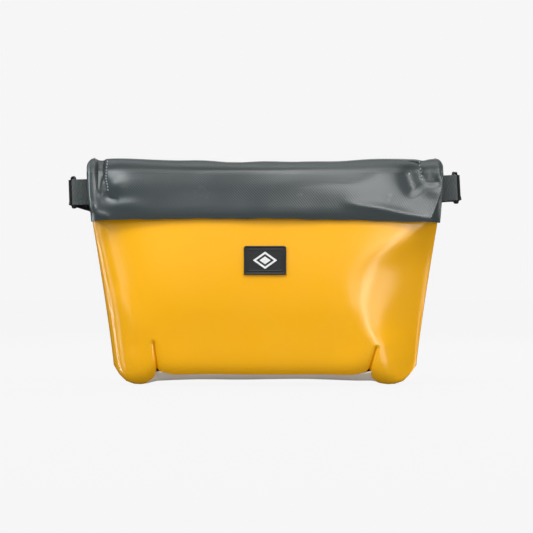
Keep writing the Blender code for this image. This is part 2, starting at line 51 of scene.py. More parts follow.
HALF_WIDTH_NECK = 0.1692
HALF_WIDTH_BASE = 0.1483
NECK_Z = 0.159
MOUTH_Z = 0.210
BELLY_Z = 0.070
FLOOR_CURVE_Z = 0.045
DEPTH_BELLY = 0.0475
DEPTH_MOUTH = 0.0225
CORNER_Z = 0.018
BASE_LIFT = 0.006
BASE_EDGE = math.radians(43.5)
WALL = 0.0016
GAP = 0.0003
LID_TOP_Z = 0.2195
LID_STANDOFF = 0.0046
LID_WALL = 0.0015
LID_BACK_Y = 0.0205
LID_RETURN_Y = -0.0034
LID_EDGE = 0.0075
LABEL_WIDTH = 0.041
LABEL_HEIGHT = 0.028
LABEL_Z = 0.1212
WEBBING = 0.025
TAB_THICK = 0.0015
STRAP_THICK = 0.0016
RING_X = {"left": 0.1860, "right": 0.1850}
RING_Z = {"left": 0.1880, "right": 0.1925}
RING_TILT_DEG = {"left": -2.0, "right": 3.0}
RING_TURN_DEG = 23.0
RING_LENGTH = 0.0087
RING_HALF_WIDTH = 0.0145
RING_BAR = 0.0014
STRAP_Z = 0.165
KEEPER_X = 0.112
KEEPER_WIDTH = 0.020
KEEPER_HALF_HEIGHT = 0.024
KEEPER_Z = STRAP_Z + 0.0030
KEEPER_THICK = 0.0012
BUCKLE_Y = 0.0425
BUCKLE_BAR = 0.0015
TURN_GAP = 0.0004
TAB_LAYER_Y = 0.0014
FLAP_HALF_WIDTH = 0.100
FLAP_STITCH_X = 0.096
SIDES = {"left": -1.0, "right": 1.0}
# Where rays that look for a surface start and head.
IN_FRONT_Y = -0.3
TO_BACK = (0.0, 1.0, 0.0)
TO_FRONT = (0.0, -1.0, 0.0)
DOWN = (0.0, 0.0, -1.0)


# Materials


class Paint:
    """A node material under construction."""

    def __init__(self, name, colour, roughness, **sockets):
        self.material = bpy.data.materials.new(name)
        self.material.use_nodes = True
        self.tree = self.material.node_tree
        self.shader = self.tree.nodes["Principled BSDF"]
        self.shader.inputs["Base Color"].default_value = (*colour, 1.0)
        self.shader.inputs["Roughness"].default_value = roughness
        for socket, value in sockets.items():
            self.shader.inputs[socket.replace("_", " ")].default_value = value

    def node(self, kind, inputs=(), **settings):
        made = self.tree.nodes.new(kind)
        for key, value in settings.items():
            setattr(made, key, value)
        for key, value in dict(inputs).items():
            if isinstance(value, bpy.types.NodeSocket):
                self.tree.links.new(value, made.inputs[key])
            else:
                made.inputs[key].default_value = value
        return made

    def math(self, operation, first, second=0.0):
        return self.node("ShaderNodeMath", {0: first, 1: second}, operation=operation).outputs[0]

    def place(self, where="UV"):
        return self.node("ShaderNodeTexCoord").outputs[where]

    def noise(self, scale, detail=3.0):
        inputs = {"Vector": self.place("Object"), "Scale": scale, "Detail": detail}
        return self.node("ShaderNodeTexNoise", inputs).outputs["Fac"]

    def range(self, value, low, high, to_low, to_high):
        inputs = {"Value": value, "From Min": low, "From Max": high, "To Min": to_low, "To Max": to_high}
        return self.node("ShaderNodeMapRange", inputs).outputs["Result"]

    def weave(self, pitch, turn_deg, aspect=1.0):
        """Crossing threads at a pitch in metres: -1 in the hollows to 1 on the knuckles."""
        turned = self.node(
            "ShaderNodeMapping",
            {
                "Vector": self.place(),
                "Rotation": (0.0, 0.0, math.radians(turn_deg)),
                "Scale": (2.0 * math.pi / pitch, 2.0 * math.pi * aspect / pitch, 1.0),
            },
        )
        axes = self.node("ShaderNodeSeparateXYZ", {0: turned.outputs[0]})
        return self.math("MULTIPLY", self.math("SINE", axes.outputs[0]), self.math("SINE", axes.outputs[1]))

    def tint(self, factor, dark, light):
        """Colour between two linear colours."""
        mixed = self.node("ShaderNodeMix", {0: factor}, data_type="RGBA")
        mixed.inputs[6].default_value = (*dark, 1.0)
        mixed.inputs[7].default_value = (*light, 1.0)
        return mixed.outputs[2]

    def colour(self, socket):
        self.tree.links.new(socket, self.shader.inputs["Base Color"])

    def roughness(self, socket):
        self.tree.links.new(socket, self.shader.inputs["Roughness"])

    def bump(self, height, distance, strength=1.0, under=None):
        inputs = {"Height": height, "Distance": distance, "Strength": strength}
        if under is not None:
            inputs["Normal"] = under
        made = self.node("ShaderNodeBump", inputs).outputs["Normal"]
        self.tree.links.new(made, self.shader.inputs["Normal"])
        return made


def folds_dark_edges_light(paint, spread=0.06):
    """Colour mask from how pointed the surface is: 0 in folds, which get painted shade, to 1 on edges, which
    are painted lighter.
    """
    point = paint.node("ShaderNodeNewGeometry").outputs["Pointiness"]
    return paint.range(point, 0.5 - spread, 0.5 + spread, 0.0, 1.0)


def tarpaulin_yellow():
    paint = Paint("tarpaulin_yellow_coat", (0.92, 0.455, 0.004), 0.27, Specular_IOR_Level=0.5)
    broad = paint.noise(9.0, 2.0)
    paint.colour(paint.tint(broad, (0.90, 0.418, 0.003), (0.94, 0.452, 0.005)))
    paint.roughness(paint.range(paint.noise(26.0, 5.0), 0.3, 0.7, 0.18, 0.24))
    grain = paint.bump(paint.noise(900.0, 2.0), 0.00003)
    paint.bump(paint.weave(0.0022, 0.0), 0.00001, under=grain)
    return paint.material


def tarpaulin_grey():
    """Slate coating, duller on the lid's top, where hands scuff it."""
    dark, light = (0.043, 0.053, 0.0535), (0.055, 0.0665, 0.068)
    paint = Paint("tarpaulin_grey_coat", light, 0.27, Specular_IOR_Level=0.55)
    broad = paint.noise(12.0, 3.0)
    paint.colour(paint.tint(broad, dark, light))
    height = paint.node("ShaderNodeSeparateXYZ", {0: paint.place("Object")}).outputs[2]
    scuffed = paint.range(height, 0.2060, 0.2140, 0.0, 0.36)
    paint.roughness(paint.math("ADD", paint.range(paint.noise(30.0, 5.0), 0.3, 0.7, 0.22, 0.28), scuffed))
    grain = paint.bump(paint.noise(700.0, 3.0), 0.00004)
    paint.bump(paint.weave(0.0026, 0.0), 0.00005, under=grain)
    return paint.material


def tarpaulin_light():
    paint = Paint("tarpaulin_light_coat", (0.62, 0.54, 0.47), 0.42)
    paint.colour(paint.tint(paint.noise(30.0, 4.0), (0.70, 0.60, 0.50), (0.82, 0.71, 0.60)))
    paint.bump(paint.weave(0.0022, 0.0), 0.00008)
    return paint.material


def webbing(name, dark, light, rough=0.72):
    """Flat woven tape: ribs along it, crossed by a fine twill."""
    paint = Paint(name, light, rough, Sheen_Weight=0.25, Sheen_Roughness=0.4)
    twill = paint.weave(0.0016, 28.0, 1.3)
    ribs = paint.weave(0.0030, 0.0, 0.5)
    height = paint.math("ADD", twill, paint.math("MULTIPLY", ribs, 0.4))
    # Painted shade: the colour follows the weave's height, darker in the hollows and lighter on the knuckles,
    # with some random tone.
    shade = paint.range(paint.math("ADD", height, paint.noise(420.0, 3.0)), -1.0, 2.0, 0.0, 1.0)
    paint.colour(paint.tint(shade, dark, light))
    paint.bump(height, 0.00022)
    return paint.material


def fastener_tape(name, grain_scale, depth):
    """Hook-and-loop tape: a dense pile."""
    paint = Paint(name, (0.03, 0.032, 0.034), 0.95, Sheen_Weight=0.6, Sheen_Roughness=0.5)
    pile = paint.node("ShaderNodeTexVoronoi", {"Vector": paint.place("Object"), "Scale": grain_scale})
    spots = pile.outputs["Distance"]
    paint.colour(paint.tint(spots, (0.045, 0.047, 0.05), (0.012, 0.012, 0.013)))
    paint.bump(spots, depth)
    return paint.material


def moulded(name, dark, light, rough, grain=0.00004, **sockets):
    """Moulded plastic or rubber, with painted shade in its folds and a lighter colour on its edges."""
    paint = Paint(name, light, rough, **sockets)
    # Painted shade: the colour is darker in folds and lighter on edges, mixed with random tone.
    edges = paint.math("MULTIPLY", folds_dark_edges_light(paint), 0.5)
    mixed = paint.math("ADD", edges, paint.math("MULTIPLY", paint.noise(60.0, 4.0), 0.5))
    paint.colour(paint.tint(mixed, dark, light))
    paint.roughness(paint.range(paint.noise(90.0, 4.0), 0.3, 0.7, rough * 0.85, rough * 1.15))
    paint.bump(paint.noise(1500.0, 2.0), grain)
    return paint.material


def print_white():
    paint = Paint("label_print_ink", (0.80, 0.80, 0.78), 0.45)
    paint.colour(paint.tint(paint.noise(300.0, 4.0), (0.68, 0.68, 0.66), (0.86, 0.86, 0.85)))
    paint.bump(paint.noise(1200.0, 2.0), 0.00004)
    return paint.material


def thread(name, colour):
    paint = Paint(name, colour, 0.6, Sheen_Weight=0.3)
    twist = paint.noise(2600.0, 1.0)
    paint.colour(paint.tint(twist, tuple(0.6 * part for part in colour), colour))
    paint.bump(twist, 0.00008)
    return paint.material


MATERIALS = {
    "yellow": tarpaulin_yellow(),
    "grey": tarpaulin_grey(),
    "light": tarpaulin_light(),
    "webbing_grey": webbing("webbing_grey_weave", (0.050, 0.060, 0.061), (0.135, 0.153, 0.154)),
    "webbing_black": webbing("webbing_black_weave", (0.004, 0.004, 0.005), (0.020, 0.020, 0.022)),
    "hooks": fastener_tape("hook_tape", 900.0, 0.0005),
    "loops": fastener_tape("loop_tape", 600.0, 0.0004),
    "rubber": moulded("label_rubber_moulding", (0.018, 0.0185, 0.019), (0.036, 0.037, 0.038), 0.55),
    "ink": print_white(),
    "ring": moulded("ring_gunmetal", (0.035, 0.036, 0.038), (0.10, 0.10, 0.105), 0.28, Metallic=0.6),
    "plastic": moulded("buckle_acetal", (0.008, 0.008, 0.009), (0.022, 0.022, 0.023), 0.42),
    "board": moulded("board_plastic", (0.010, 0.010, 0.011), (0.03, 0.03, 0.03), 0.6),
    "thread_grey": thread("thread_grey_twist", (0.42, 0.45, 0.47)),
}


# Sheets


def smooth(value, low, high):
    t = np.clip((value - low) / (high - low), 0.0, 1.0)
    return t * t * (3.0 - 2.0 * t)


def unit(vectors):
    lengths = np.linalg.norm(vectors, axis=-1, keepdims=True)
    return vectors / np.maximum(lengths, 1e-12)


def grid_normals(grid):
    """Outward unit normals of a grid whose rows run down and whose columns run to +X on the front."""
    across = np.gradient(grid, axis=1)
    along = np.gradient(grid, axis=0)
    return unit(np.cross(along, across))


def run_along(points):
    """The length travelled at each point of a path."""
    return np.concatenate([[0.0], np.cumsum(np.linalg.norm(np.diff(points, axis=0), axis=1))])


def bell(value, centre, width):
    """1 at the centre, and less to both sides."""
    return np.exp(-(((value - centre) / width) ** 2))


def arc_uv(grid):
    """Texture coordinates in metres, from the lengths along the grid's middle lines."""
    middle_row, middle_column = grid.shape[0] // 2, grid.shape[1] // 2
    u, v = run_along(grid[middle_row]), run_along(grid[:, middle_column])
    return np.stack(np.broadcast_arrays(u[None, :], v[:, None]), axis=-1)


def make_mesh(name, points, faces, uv, material, smooth_deg=40.0):
    mesh = bpy.data.meshes.new(name)
    mesh.from_pydata([tuple(p) for p in points], [], faces)
    mesh.materials.append(material)
    if uv is not None:
        layer = mesh.uv_layers.new(name="metres")
        corners = np.zeros(len(mesh.loops), dtype=np.int32)
        mesh.loops.foreach_get("vertex_index", corners)
        layer.data.foreach_set("uv", np.asarray(uv, dtype=np.float32)[corners].ravel())
    mesh.shade_smooth()
    mesh.set_sharp_from_angle(angle=math.radians(smooth_deg))
    mesh.update()
    made = bpy.data.objects.new(name, mesh)
    bpy.context.scene.collection.objects.link(made)
    return made


def sheet(name, outer, thickness, material, keep=None, clamp=None, smooth_deg=40.0):
    """A closed sheet: a grid of outer points, the same grid set in by the thickness, and its edges."""
    rows, columns = outer.shape[:2]
    inner = outer - grid_normals(outer) * thickness
    if clamp is not None:
        outer, inner = clamp(outer), clamp(inner)
    count = rows * columns
    index = np.arange(count).reshape(rows, columns)
    cells = np.stack([index[:-1, :-1], index[1:, :-1], index[1:, 1:], index[:-1, 1:]], axis=-1)
    if keep is None:
        keep = np.ones((rows - 1, columns - 1), dtype=bool)
    cells = cells[keep].tolist()
    edges = {(cell[i], cell[(i + 1) % 4]) for cell in cells for i in range(4)}
    faces = list(cells)
    faces += [[count + i for i in reversed(cell)] for cell in cells]
    faces += [[b, a, count + a, count + b] for a, b in sorted(edges) if (b, a) not in edges]
    points = np.concatenate([outer.reshape(-1, 3), inner.reshape(-1, 3)])
    uv = arc_uv(outer).reshape(-1, 2)
    used = sorted({i for face in faces for i in face})
    renumbered = {old: new for new, old in enumerate(used)}
    faces = [[renumbered[i] for i in face] for face in faces]
    return make_mesh(name, points[used], faces, np.concatenate([uv, uv])[used], material, smooth_deg)


def near_path(x, z, path):
    """Distance from each point to a polyline in the X-Z plane, and the share of the way along it."""
    path = np.asarray(path)
    best = np.full(x.shape, 1e9)
    share = np.zeros(x.shape)
    lengths = np.linalg.norm(np.diff(path, axis=0), axis=1)
    ends = run_along(path)
    for i, length in enumerate(lengths):
        direction = (path[i + 1] - path[i]) / length
        t = np.clip((x - path[i, 0]) * direction[0] + (z - path[i, 1]) * direction[1], 0.0, length)
        distance = np.hypot(x - path[i, 0] - t * direction[0], z - path[i, 1] - t * direction[1])
        nearer = distance < best
        best = np.where(nearer, distance, best)
        share = np.where(nearer, (ends[i] + t) / ends[-1], share)
    return best, share


def curve_through(points, steps=8):
    """A Catmull-Rom curve through points of any dimension."""
    route = [np.asarray(p, dtype=float) for p in points]
    padded = [2 * route[0] - route[1]] + route + [2 * route[-1] - route[-2]]
    found = []
    for i in range(1, len(padded) - 2):
        p0, p1, p2, p3 = padded[i - 1 : i + 3]
        for t in np.arange(steps) / steps:
            bend = (2 * p0 - 5 * p1 + 4 * p2 - p3) * t**2 + (3 * p1 - p0 - 3 * p2 + p3) * t**3
            found.append(0.5 * (2 * p1 + (p2 - p0) * t + bend))
    return np.array(found + [route[-1]])


def ridge(x, z, path, width, height, fade=0.2):
    """A rounded swelling along a path, or a hollow where the height is negative."""
    distance, share = near_path(x, z, curve_through(path))
    ends = smooth(share, 0.0, fade) * smooth(1.0 - share, 0.0, fade)
    return height * bell(distance, 0.0, width) * ends


def crease(x, z, path, width, depth, fade=0.12):
    """A sharp pinched line."""
    distance, share = near_path(x, z, curve_through(path))
    ends = smooth(share, -fade, fade) * smooth(1.0 - share, 0.0, fade)
    return -depth * np.exp(-distance / width) * ends


def swelling(x, z, centre, size, height):
    """A round bulge, or a dimple where the height is negative."""
    return height * np.exp(-(((x - centre[0]) / size[0]) ** 2) - ((z - centre[1]) / size[1]) ** 2)


def ripple(x, z, waves):
    """Slow waves over a sheet: (height, wavelength, direction in degrees, phase) each."""
    total = np.zeros(np.broadcast(x, z).shape)
    for height, wavelength, heading, phase in waves:
        along = x * math.cos(math.radians(heading)) + z * math.sin(math.radians(heading))
        total += height * np.sin(2.0 * math.pi * along / wavelength + phase)
    return total


# The bag's skin


def half_width(z):
    t = np.clip((z - CORNER_Z) / (NECK_Z - CORNER_Z), 0.0, 1.0)
    return HALF_WIDTH_BASE + (HALF_WIDTH_NECK - HALF_WIDTH_BASE) * t**1.15


def half_depth(z):
    t = np.maximum((z - BELLY_Z) / (MOUTH_Z - BELLY_Z), 0.0)
    return DEPTH_BELLY - (DEPTH_BELLY - DEPTH_MOUTH) * t**1.6


def section_power(z):
    t = np.clip((MOUTH_Z - z) / (MOUTH_Z - FLOOR_CURVE_Z), 0.0, 1.0)
    return 2.6 + 4.4 * t


def depth_at(u, z):
    return half_depth(z) * np.sqrt(np.maximum(1.0 - np.abs(u) ** section_power(z), 0.0))


# Height of the underside across the bag, from the middle to the side seam.
UNDERSIDE = (
    (0.0, 0.0054), (0.60, 0.0056), (0.66, 0.0070), (0.705, 0.0084), (0.748, 0.0042), (0.785, 0.0014),
    (0.825, 0.0003), (0.865, 0.0007), (0.912, 0.0034), (0.955, 0.0098), (1.0, 0.0188),
)
# Height of the strip under the bag, which runs on below the ears.
BASE_UNDERSIDE = (
    (0.0, 0.0054), (0.45, 0.0050), (0.60, 0.0044), (0.705, 0.0038), (0.745, 0.0025), (0.779, 0.0010),
)
BASE_REACH = 0.778
# Where the front turns towards its right side at each height, and how soft that turn is.
RIGHT_TURN = (
    (0.008, 0.80), (0.041, 0.735), (0.056, 0.675), (0.071, 0.645), (0.098, 0.645), (0.119, 0.725),
    (0.137, 0.815), (0.146, 0.88), (0.156, 0.95),
)
RIGHT_SOFTNESS = ((0.030, 0.12), (0.060, 0.26), (0.085, 0.38), (0.110, 0.60), (0.130, 0.70), (0.150, 0.60))


def table_at(rows, value):
    positions, values = zip(*rows)
    return np.interp(value, positions, values)


def soft_table(rows, value, spread):
    """A table without kinks."""
    return sum(table_at(rows, value + spread * k / 4.0) for k in range(-4, 5)) / 9.0


def skin(u, z, y):
    return np.stack(np.broadcast_arrays(u * half_width(z), y, z), axis=-1)


def floor_angles(start, stop, count):
    """Angles of the floor curve at even steps along it."""
    dense = np.linspace(start, stop, 400)
    y = DEPTH_BELLY * np.maximum(np.cos(dense), 0.0) ** 0.4
    z = (FLOOR_CURVE_Z - BASE_LIFT) * np.sin(dense) ** 0.4
    run = np.concatenate([[0.0], np.cumsum(np.hypot(np.diff(y), np.diff(z)))])
    return np.interp(np.linspace(0.0, run[-1], count + 1), run, dense)


def floor_skin(u, angle):
    lowest = table_at(UNDERSIDE, np.abs(u))
    across = np.maximum(np.cos(angle), 0.0) ** 0.4
    z = np.maximum(FLOOR_CURVE_Z - (FLOOR_CURVE_Z - lowest) * np.sin(angle) ** 0.4, 0.0)
    return skin(u, z, -depth_at(u, FLOOR_CURVE_Z) * across)


NECK_ROWS = 104
SIDE_ROWS = 30
UNDER_ROWS = 26
COLUMNS = 208


def column_shares(count=COLUMNS, limit=1.0):
    return np.sin(0.5 * math.pi * limit * np.linspace(-1.0, 1.0, count + 1))


def skin_grid():
    """The front skin from the mouth to the bottom seam."""
    u = column_shares()[None, :]
    z = np.linspace(MOUTH_Z, FLOOR_CURVE_Z, NECK_ROWS + 1)[:-1, None]
    wall = skin(u, z, -depth_at(u, z))
    angles = np.concatenate(
        [floor_angles(0.0, BASE_EDGE, SIDE_ROWS)[:-1], floor_angles(BASE_EDGE, 0.5 * math.pi, UNDER_ROWS)]
    )
    return np.concatenate([wall, floor_skin(u, angles[:, None])])


def panel_cells():
    """The panels leave out the base between the darts."""
    middles = np.abs(np.linspace(-1.0, 1.0, COLUMNS + 1)[:-1] + 1.0 / COLUMNS)
    rows = np.arange(NECK_ROWS + SIDE_ROWS + UNDER_ROWS)
    return (rows[:, None] < NECK_ROWS + SIDE_ROWS) | (middles[None, :] > DART_COLUMN)


# Share of the columns from the middle to each dart.
DART_COLUMN = 0.5
DARTS = {
    "left": {"top": (-0.1083, 0.0437), "foot": (-0.1036, 0.0086)},
    "right": {"top": (0.1087, 0.0387), "foot": (0.1004, 0.0120)},
}


def warp_to_darts(grid):
    """Leans the columns beside each dart so that they run along it."""
    warped = grid.copy()
    x, z = grid[..., 0], grid[..., 2]
    for side, sign in SIDES.items():
        (top_x, top_z), (foot_x, foot_z) = DARTS[side]["top"], DARTS[side]["foot"]
        line = math.sin(0.5 * math.pi * DART_COLUMN) * half_width(z) * sign
        share = np.clip((z - foot_z) / (top_z - foot_z), -0.2, 1.0)
        wanted = foot_x + (top_x - foot_x) * share
        beside = bell(x, line, 0.020)
        below = 1.0 - smooth(z, top_z + 0.004, top_z + 0.030)
        warped[..., 0] += (wanted - line) * beside * below
    return warped


def dart_relief(x, z, side):
    """The pinched seam of a lower corner and the fullness on both its sides."""
    (top_x, top_z), (foot_x, foot_z) = DARTS[side]["top"], DARTS[side]["foot"]
    share = np.clip((z - foot_z) / (top_z - foot_z), -0.2, 1.3)
    off = np.abs(x - foot_x - (top_x - foot_x) * share)
    depth = 1.0 - smooth(share, 0.30, 1.12)
    line = 1.0 - smooth(share, 0.90, 1.03)
    pinch = -0.0016 * np.exp(-off / 0.0060) * depth - 0.0030 * np.exp(-off / 0.0010) * line
    fullness = 0.0010 * bell(off, 0.020, 0.016) * depth
    return pinch + fullness


def front_relief(x, z):
    """Folds and slack of the front panel, outwards."""
    total = ripple(x, z, [(0.00030, 0.210, 20.0, 0.4), (0.00012, 0.110, -35.0, 1.9)])
    total += dart_relief(x, z, "left") + dart_relief(x, z, "right")
    left_fold = [(-0.148, 0.100), (-0.140, 0.082), (-0.128, 0.064), (-0.116, 0.053), (-0.109, 0.045)]
    total += ridge(x, z, left_fold, 0.0140, 0.0010, 0.3)
    total += ridge(x, z, [(-0.1640, 0.1590), (-0.1570, 0.1535), (-0.1490, 0.1470)], 0.0020, 0.0005)
    edge_fold = [(-0.1655, 0.156), (-0.1615, 0.130), (-0.1565, 0.100), (-0.1505, 0.076), (-0.1465, 0.060)]
    total += crease(x, z, edge_fold, 0.0016, 0.0004, 0.2)
    return total


def back_relief(x, z):
    waves = [(0.00035, 0.150, -15.0, 0.9), (0.00028, 0.090, 40.0, 0.2), (0.00018, 0.055, 80.0, 1.2)]
    total = ripple(x, z, waves)
    total += dart_relief(x, z, "left") + dart_relief(x, z, "right")
    for sign in (-1.0, 1.0):
        slack = [(sign * 0.150, 0.140), (sign * 0.122, 0.105), (sign * 0.108, 0.070), (sign * 0.107, 0.045)]
        total += ridge(x, z, slack, 0.010, 0.0014, 0.25)
    return total


def seam_clamp(side):
    def clamp(points):
        points = points.copy()
        points[..., 1] = side * np.maximum(side * points[..., 1], 0.5 * GAP)
        return points

    return clamp


def blurred(values, rounds):
    """Values averaged with their neighbours along the rows, again and again."""
    values = values.copy()
    for _ in range(rounds):
        values[:, 1:-1] = 0.25 * values[:, :-2] + 0.5 * values[:, 1:-1] + 0.25 * values[:, 2:]
    return values


def turn_right_side(grid):
    """On the right the front turns early, along a line from the top corner to the dart."""
    turned = grid.copy()
    u = np.broadcast_to(column_shares()[None, :], grid.shape[:2])
    z = grid[..., 2]
    start = soft_table(RIGHT_TURN, z, 0.018)
    facet = (1.0 - u) / (1.0 - start)
    deepest = half_depth(np.maximum(z, FLOOR_CURVE_Z))
    ratio = np.abs(grid[..., 1]) / deepest
    soft = soft_table(RIGHT_SOFTNESS, z, 0.018)
    share = np.clip(0.5 + 0.5 * (facet - ratio) / soft, 0.0, 1.0)
    both = facet + (ratio - facet) * share - soft * share * (1.0 - share)
    weight = smooth(u, 0.0, 0.30) * (1.0 - smooth(z, 0.144, 0.164)) * smooth(ratio, 0.0, 0.35)
    change = -deepest * (np.maximum(ratio + (both - ratio) * weight, 0.0) - ratio)
    crisp = blurred(change, 24)
    turned[..., 1] += crisp + (blurred(crisp, 70) - crisp) * smooth(z, 0.055, 0.115)
    return turned


def relieved_skin(relief, turned=False):
    grid = warp_to_darts(skin_grid())
    if turned:
        grid = turn_right_side(grid)
    u = column_shares()[None, :]
    calm = 1.0 - smooth(np.abs(u), 0.955, 1.0)
    under = smooth(grid[..., 2], 0.0, 0.012)
    lift = relief(grid[..., 0], grid[..., 2]) * calm * under
    moved = grid + grid_normals(grid) * lift[..., None]
    moved[..., 2] = np.maximum(moved[..., 2], 0.0)
    return moved


def mirrored(grid):
    """The same grid on the bag's back, its columns turned round so that it still faces out."""
    turned = grid[:, ::-1].copy()
    turned[..., 1] *= -1.0
    return turned


def surface_of(*objects):
    """Something to cast rays at."""
    points, faces = [], []
    for made in objects:
        start = len(points)
        points += [v.co.copy() for v in made.data.vertices]
        faces += [[start + i for i in polygon.vertices] for polygon in made.data.polygons]
    return BVHTree.FromPolygons(points, faces)


def land(surface, place, direction, lift=0.0):
    """Where a ray meets a surface, raised by a little, and the surface's normal there."""
    spot, normal, _, _ = surface.ray_cast(Vector(place), Vector(direction))
    if spot is None:
        return None
    if normal.dot(Vector(direction)) > 0.0:
        normal = -normal
    return spot + normal * lift, normal


# Sewing


# Share of a stitch's length, share of its radius, and rise in radii, from one end to the other.
STITCH_RINGS = ((-0.5, 0.35, -0.9), (-0.36, 0.9, 0.0), (0.0, 1.0, 0.35), (0.36, 0.9, 0.0), (0.5, 0.35, -0.9))


def stitch_row(name, spots, material, body, pitch=0.0030, length=0.0022, radius=0.00032, slant_deg=0.0):
    """Separate stitches along a line of (place, normal) spots."""
    places = np.array([spot for spot, _ in spots])
    run = run_along(places)
    normals = np.array([normal for _, normal in spots])
    points, faces = [], []
    for start in np.arange(0.0, run[-1] - length, pitch):
        ends = []
        for at in (start, start + 0.5 * length, start + length):
            ends.append(Vector([np.interp(at, run, places[:, i]) for i in range(3)]))
        normal = Vector([np.interp(start, run, normals[:, i]) for i in range(3)]).normalized()
        along = (ends[2] - ends[0]).normalized()
        if slant_deg:
            along = Matrix.Rotation(math.radians(slant_deg), 3, normal) @ along
        side = normal.cross(along).normalized()
        rings = []
        for share, width, rise in STITCH_RINGS:
            centre = ends[1] + along * share * length + normal * rise * radius
            ring = []
            for i in range(8):
                angle = 0.25 * math.pi * i
                offset = side * math.cos(angle) + normal * math.sin(angle)
                ring.append(len(points))
                points.append(centre + offset * radius * width)
            rings.append(ring)
        for a, b in zip(rings, rings[1:]):
            faces += [[a[i], b[i], b[(i + 1) % 8], a[(i + 1) % 8]] for i in range(8)]
        faces += [list(rings[0]), list(reversed(rings[-1]))]
    made = make_mesh(name, points, faces, None, material, 60.0)
    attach(made, body)


def sewn_on(surface, path, direction, steps=10, back_off=0.3):
    """Spots on a surface under a path, looked for along a direction."""
    away = Vector(direction) * -back_off
    spots = []
    for place in curve_through(path, steps):
        found = land(surface, Vector(place) + away, direction)
        if found is not None:
            spots.append(found)
    return spots


# Ribbons


def ribbon(name, route, width, thickness, material, up=(0.0, 0.0, 1.0), edge=0.35):
    """Flat webbing along a route, with softly rounded selvedges and texture coordinates along it."""
    route = np.asarray([tuple(p) for p in route], dtype=float)
    tangents = unit(np.gradient(route, axis=0))
    up = np.asarray(up, dtype=float)
    across = unit(up - tangents * (tangents @ up)[:, None])
    normals = np.cross(tangents, across)
    half_w, half_t = 0.5 * width, 0.5 * thickness
    columns = 12
    profile = [(half_w * (1.0 - 2.0 * i / columns), half_t) for i in range(1, columns)]
    rounding = edge * half_t
    flat = half_w - rounding
    outline = profile + [(-flat, half_t), (-half_w, rounding), (-half_w, -rounding), (-flat, -half_t)]
    outline += [(-w, -half_t) for w, _ in profile]
    outline += [(flat, -half_t), (half_w, -rounding), (half_w, rounding), (flat, half_t)]
    outline = np.array(outline)
    count = len(outline)
    wide, thick = outline[None, :, :1], outline[None, :, 1:]
    points = route[:, None, :] + across[:, None, :] * wide + normals[:, None, :] * thick
    run = run_along(route)
    uv = np.stack(np.broadcast_arrays(run[:, None], outline[None, :, 0]), axis=-1)
    faces = []
    for r in range(len(route) - 1):
        for i in range(count):
            j = (i + 1) % count
            faces.append([r * count + i, r * count + j, (r + 1) * count + j, (r + 1) * count + i])
    last = (len(route) - 1) * count
    faces += [list(range(count))[::-1], [last + i for i in range(count)]]
    made = make_mesh(name, points.reshape(-1, 3), faces, uv.reshape(-1, 2), material, 50.0)
    repair = bmesh.new()
    repair.from_mesh(made.data)
    bmesh.ops.recalc_face_normals(repair, faces=repair.faces)
    repair.to_mesh(made.data)
    repair.free()
    return made


def half_turn(centre, radius, start_deg, sweep_deg, steps=14):
    found = []
    for i in range(steps + 1):
        angle = math.radians(start_deg + sweep_deg * i / steps)
        found.append(Vector(centre) + Vector((radius * math.cos(angle), radius * math.sin(angle), 0.0)))
    return found


def route_through(points, steps=8):
    """A smooth curve through points, as vectors."""
    return [Vector(p) for p in curve_through(points, steps)]


def along_line(start, stop, steps):
    """Even points from start up to, not including, stop."""
    return [Vector(start).lerp(Vector(stop), i / steps) for i in range(steps)]


# Bag


def make_bag():
    front_grid = relieved_skin(front_relief, turned=True)
    cells = panel_cells()
    front = sheet("bag_front", front_grid, WALL, MATERIALS["yellow"], cells, seam_clamp(-1.0), 55.0)
    back_grid = mirrored(relieved_skin(back_relief))
    back = sheet("bag_back", back_grid, WALL, MATERIALS["grey"], cells[:, ::-1], seam_clamp(1.0), 55.0)
    for made, node, slot in (
        (front, "front_panel", "tarpaulin_yellow"),
        (back, "back_panel", "tarpaulin_grey"),
    ):
        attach(made, "bag")
        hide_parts(node)
    make_base()
    return front


def make_base():
    """The strip under the bag, from the front panel's edge to the back panel's."""
    u = np.linspace(-BASE_REACH, BASE_REACH, 161)[None, :]
    angles = floor_angles(BASE_EDGE + 0.02, 0.5 * math.pi, 24)
    front = floor_skin(u, angles[:, None])
    reach = np.abs(u)
    under = smooth(np.linspace(0.0, 1.0, len(angles))[:, None], 0.0, 0.30)
    sag = ripple(front[..., 0], front[..., 1], [(0.0003, 0.110, 5.0, 0.3), (0.0002, 0.047, 60.0, 1.0)])
    drop = (table_at(UNDERSIDE, reach) - table_at(BASE_UNDERSIDE, reach)) * under
    front[..., 2] += sag * (1.0 - smooth(reach, 0.60, 0.70)) - drop
    front[..., 1] += 0.0026 * smooth(reach, 0.690, 0.706) * (1.0 - under)
    back = front[:-1][::-1].copy()
    back[..., 1] *= -1.0
    made = sheet("bag_base", np.concatenate([front, back]), WALL, MATERIALS["light"], None, None, 50.0)
    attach(made, "bag")
    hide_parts("base_panel")


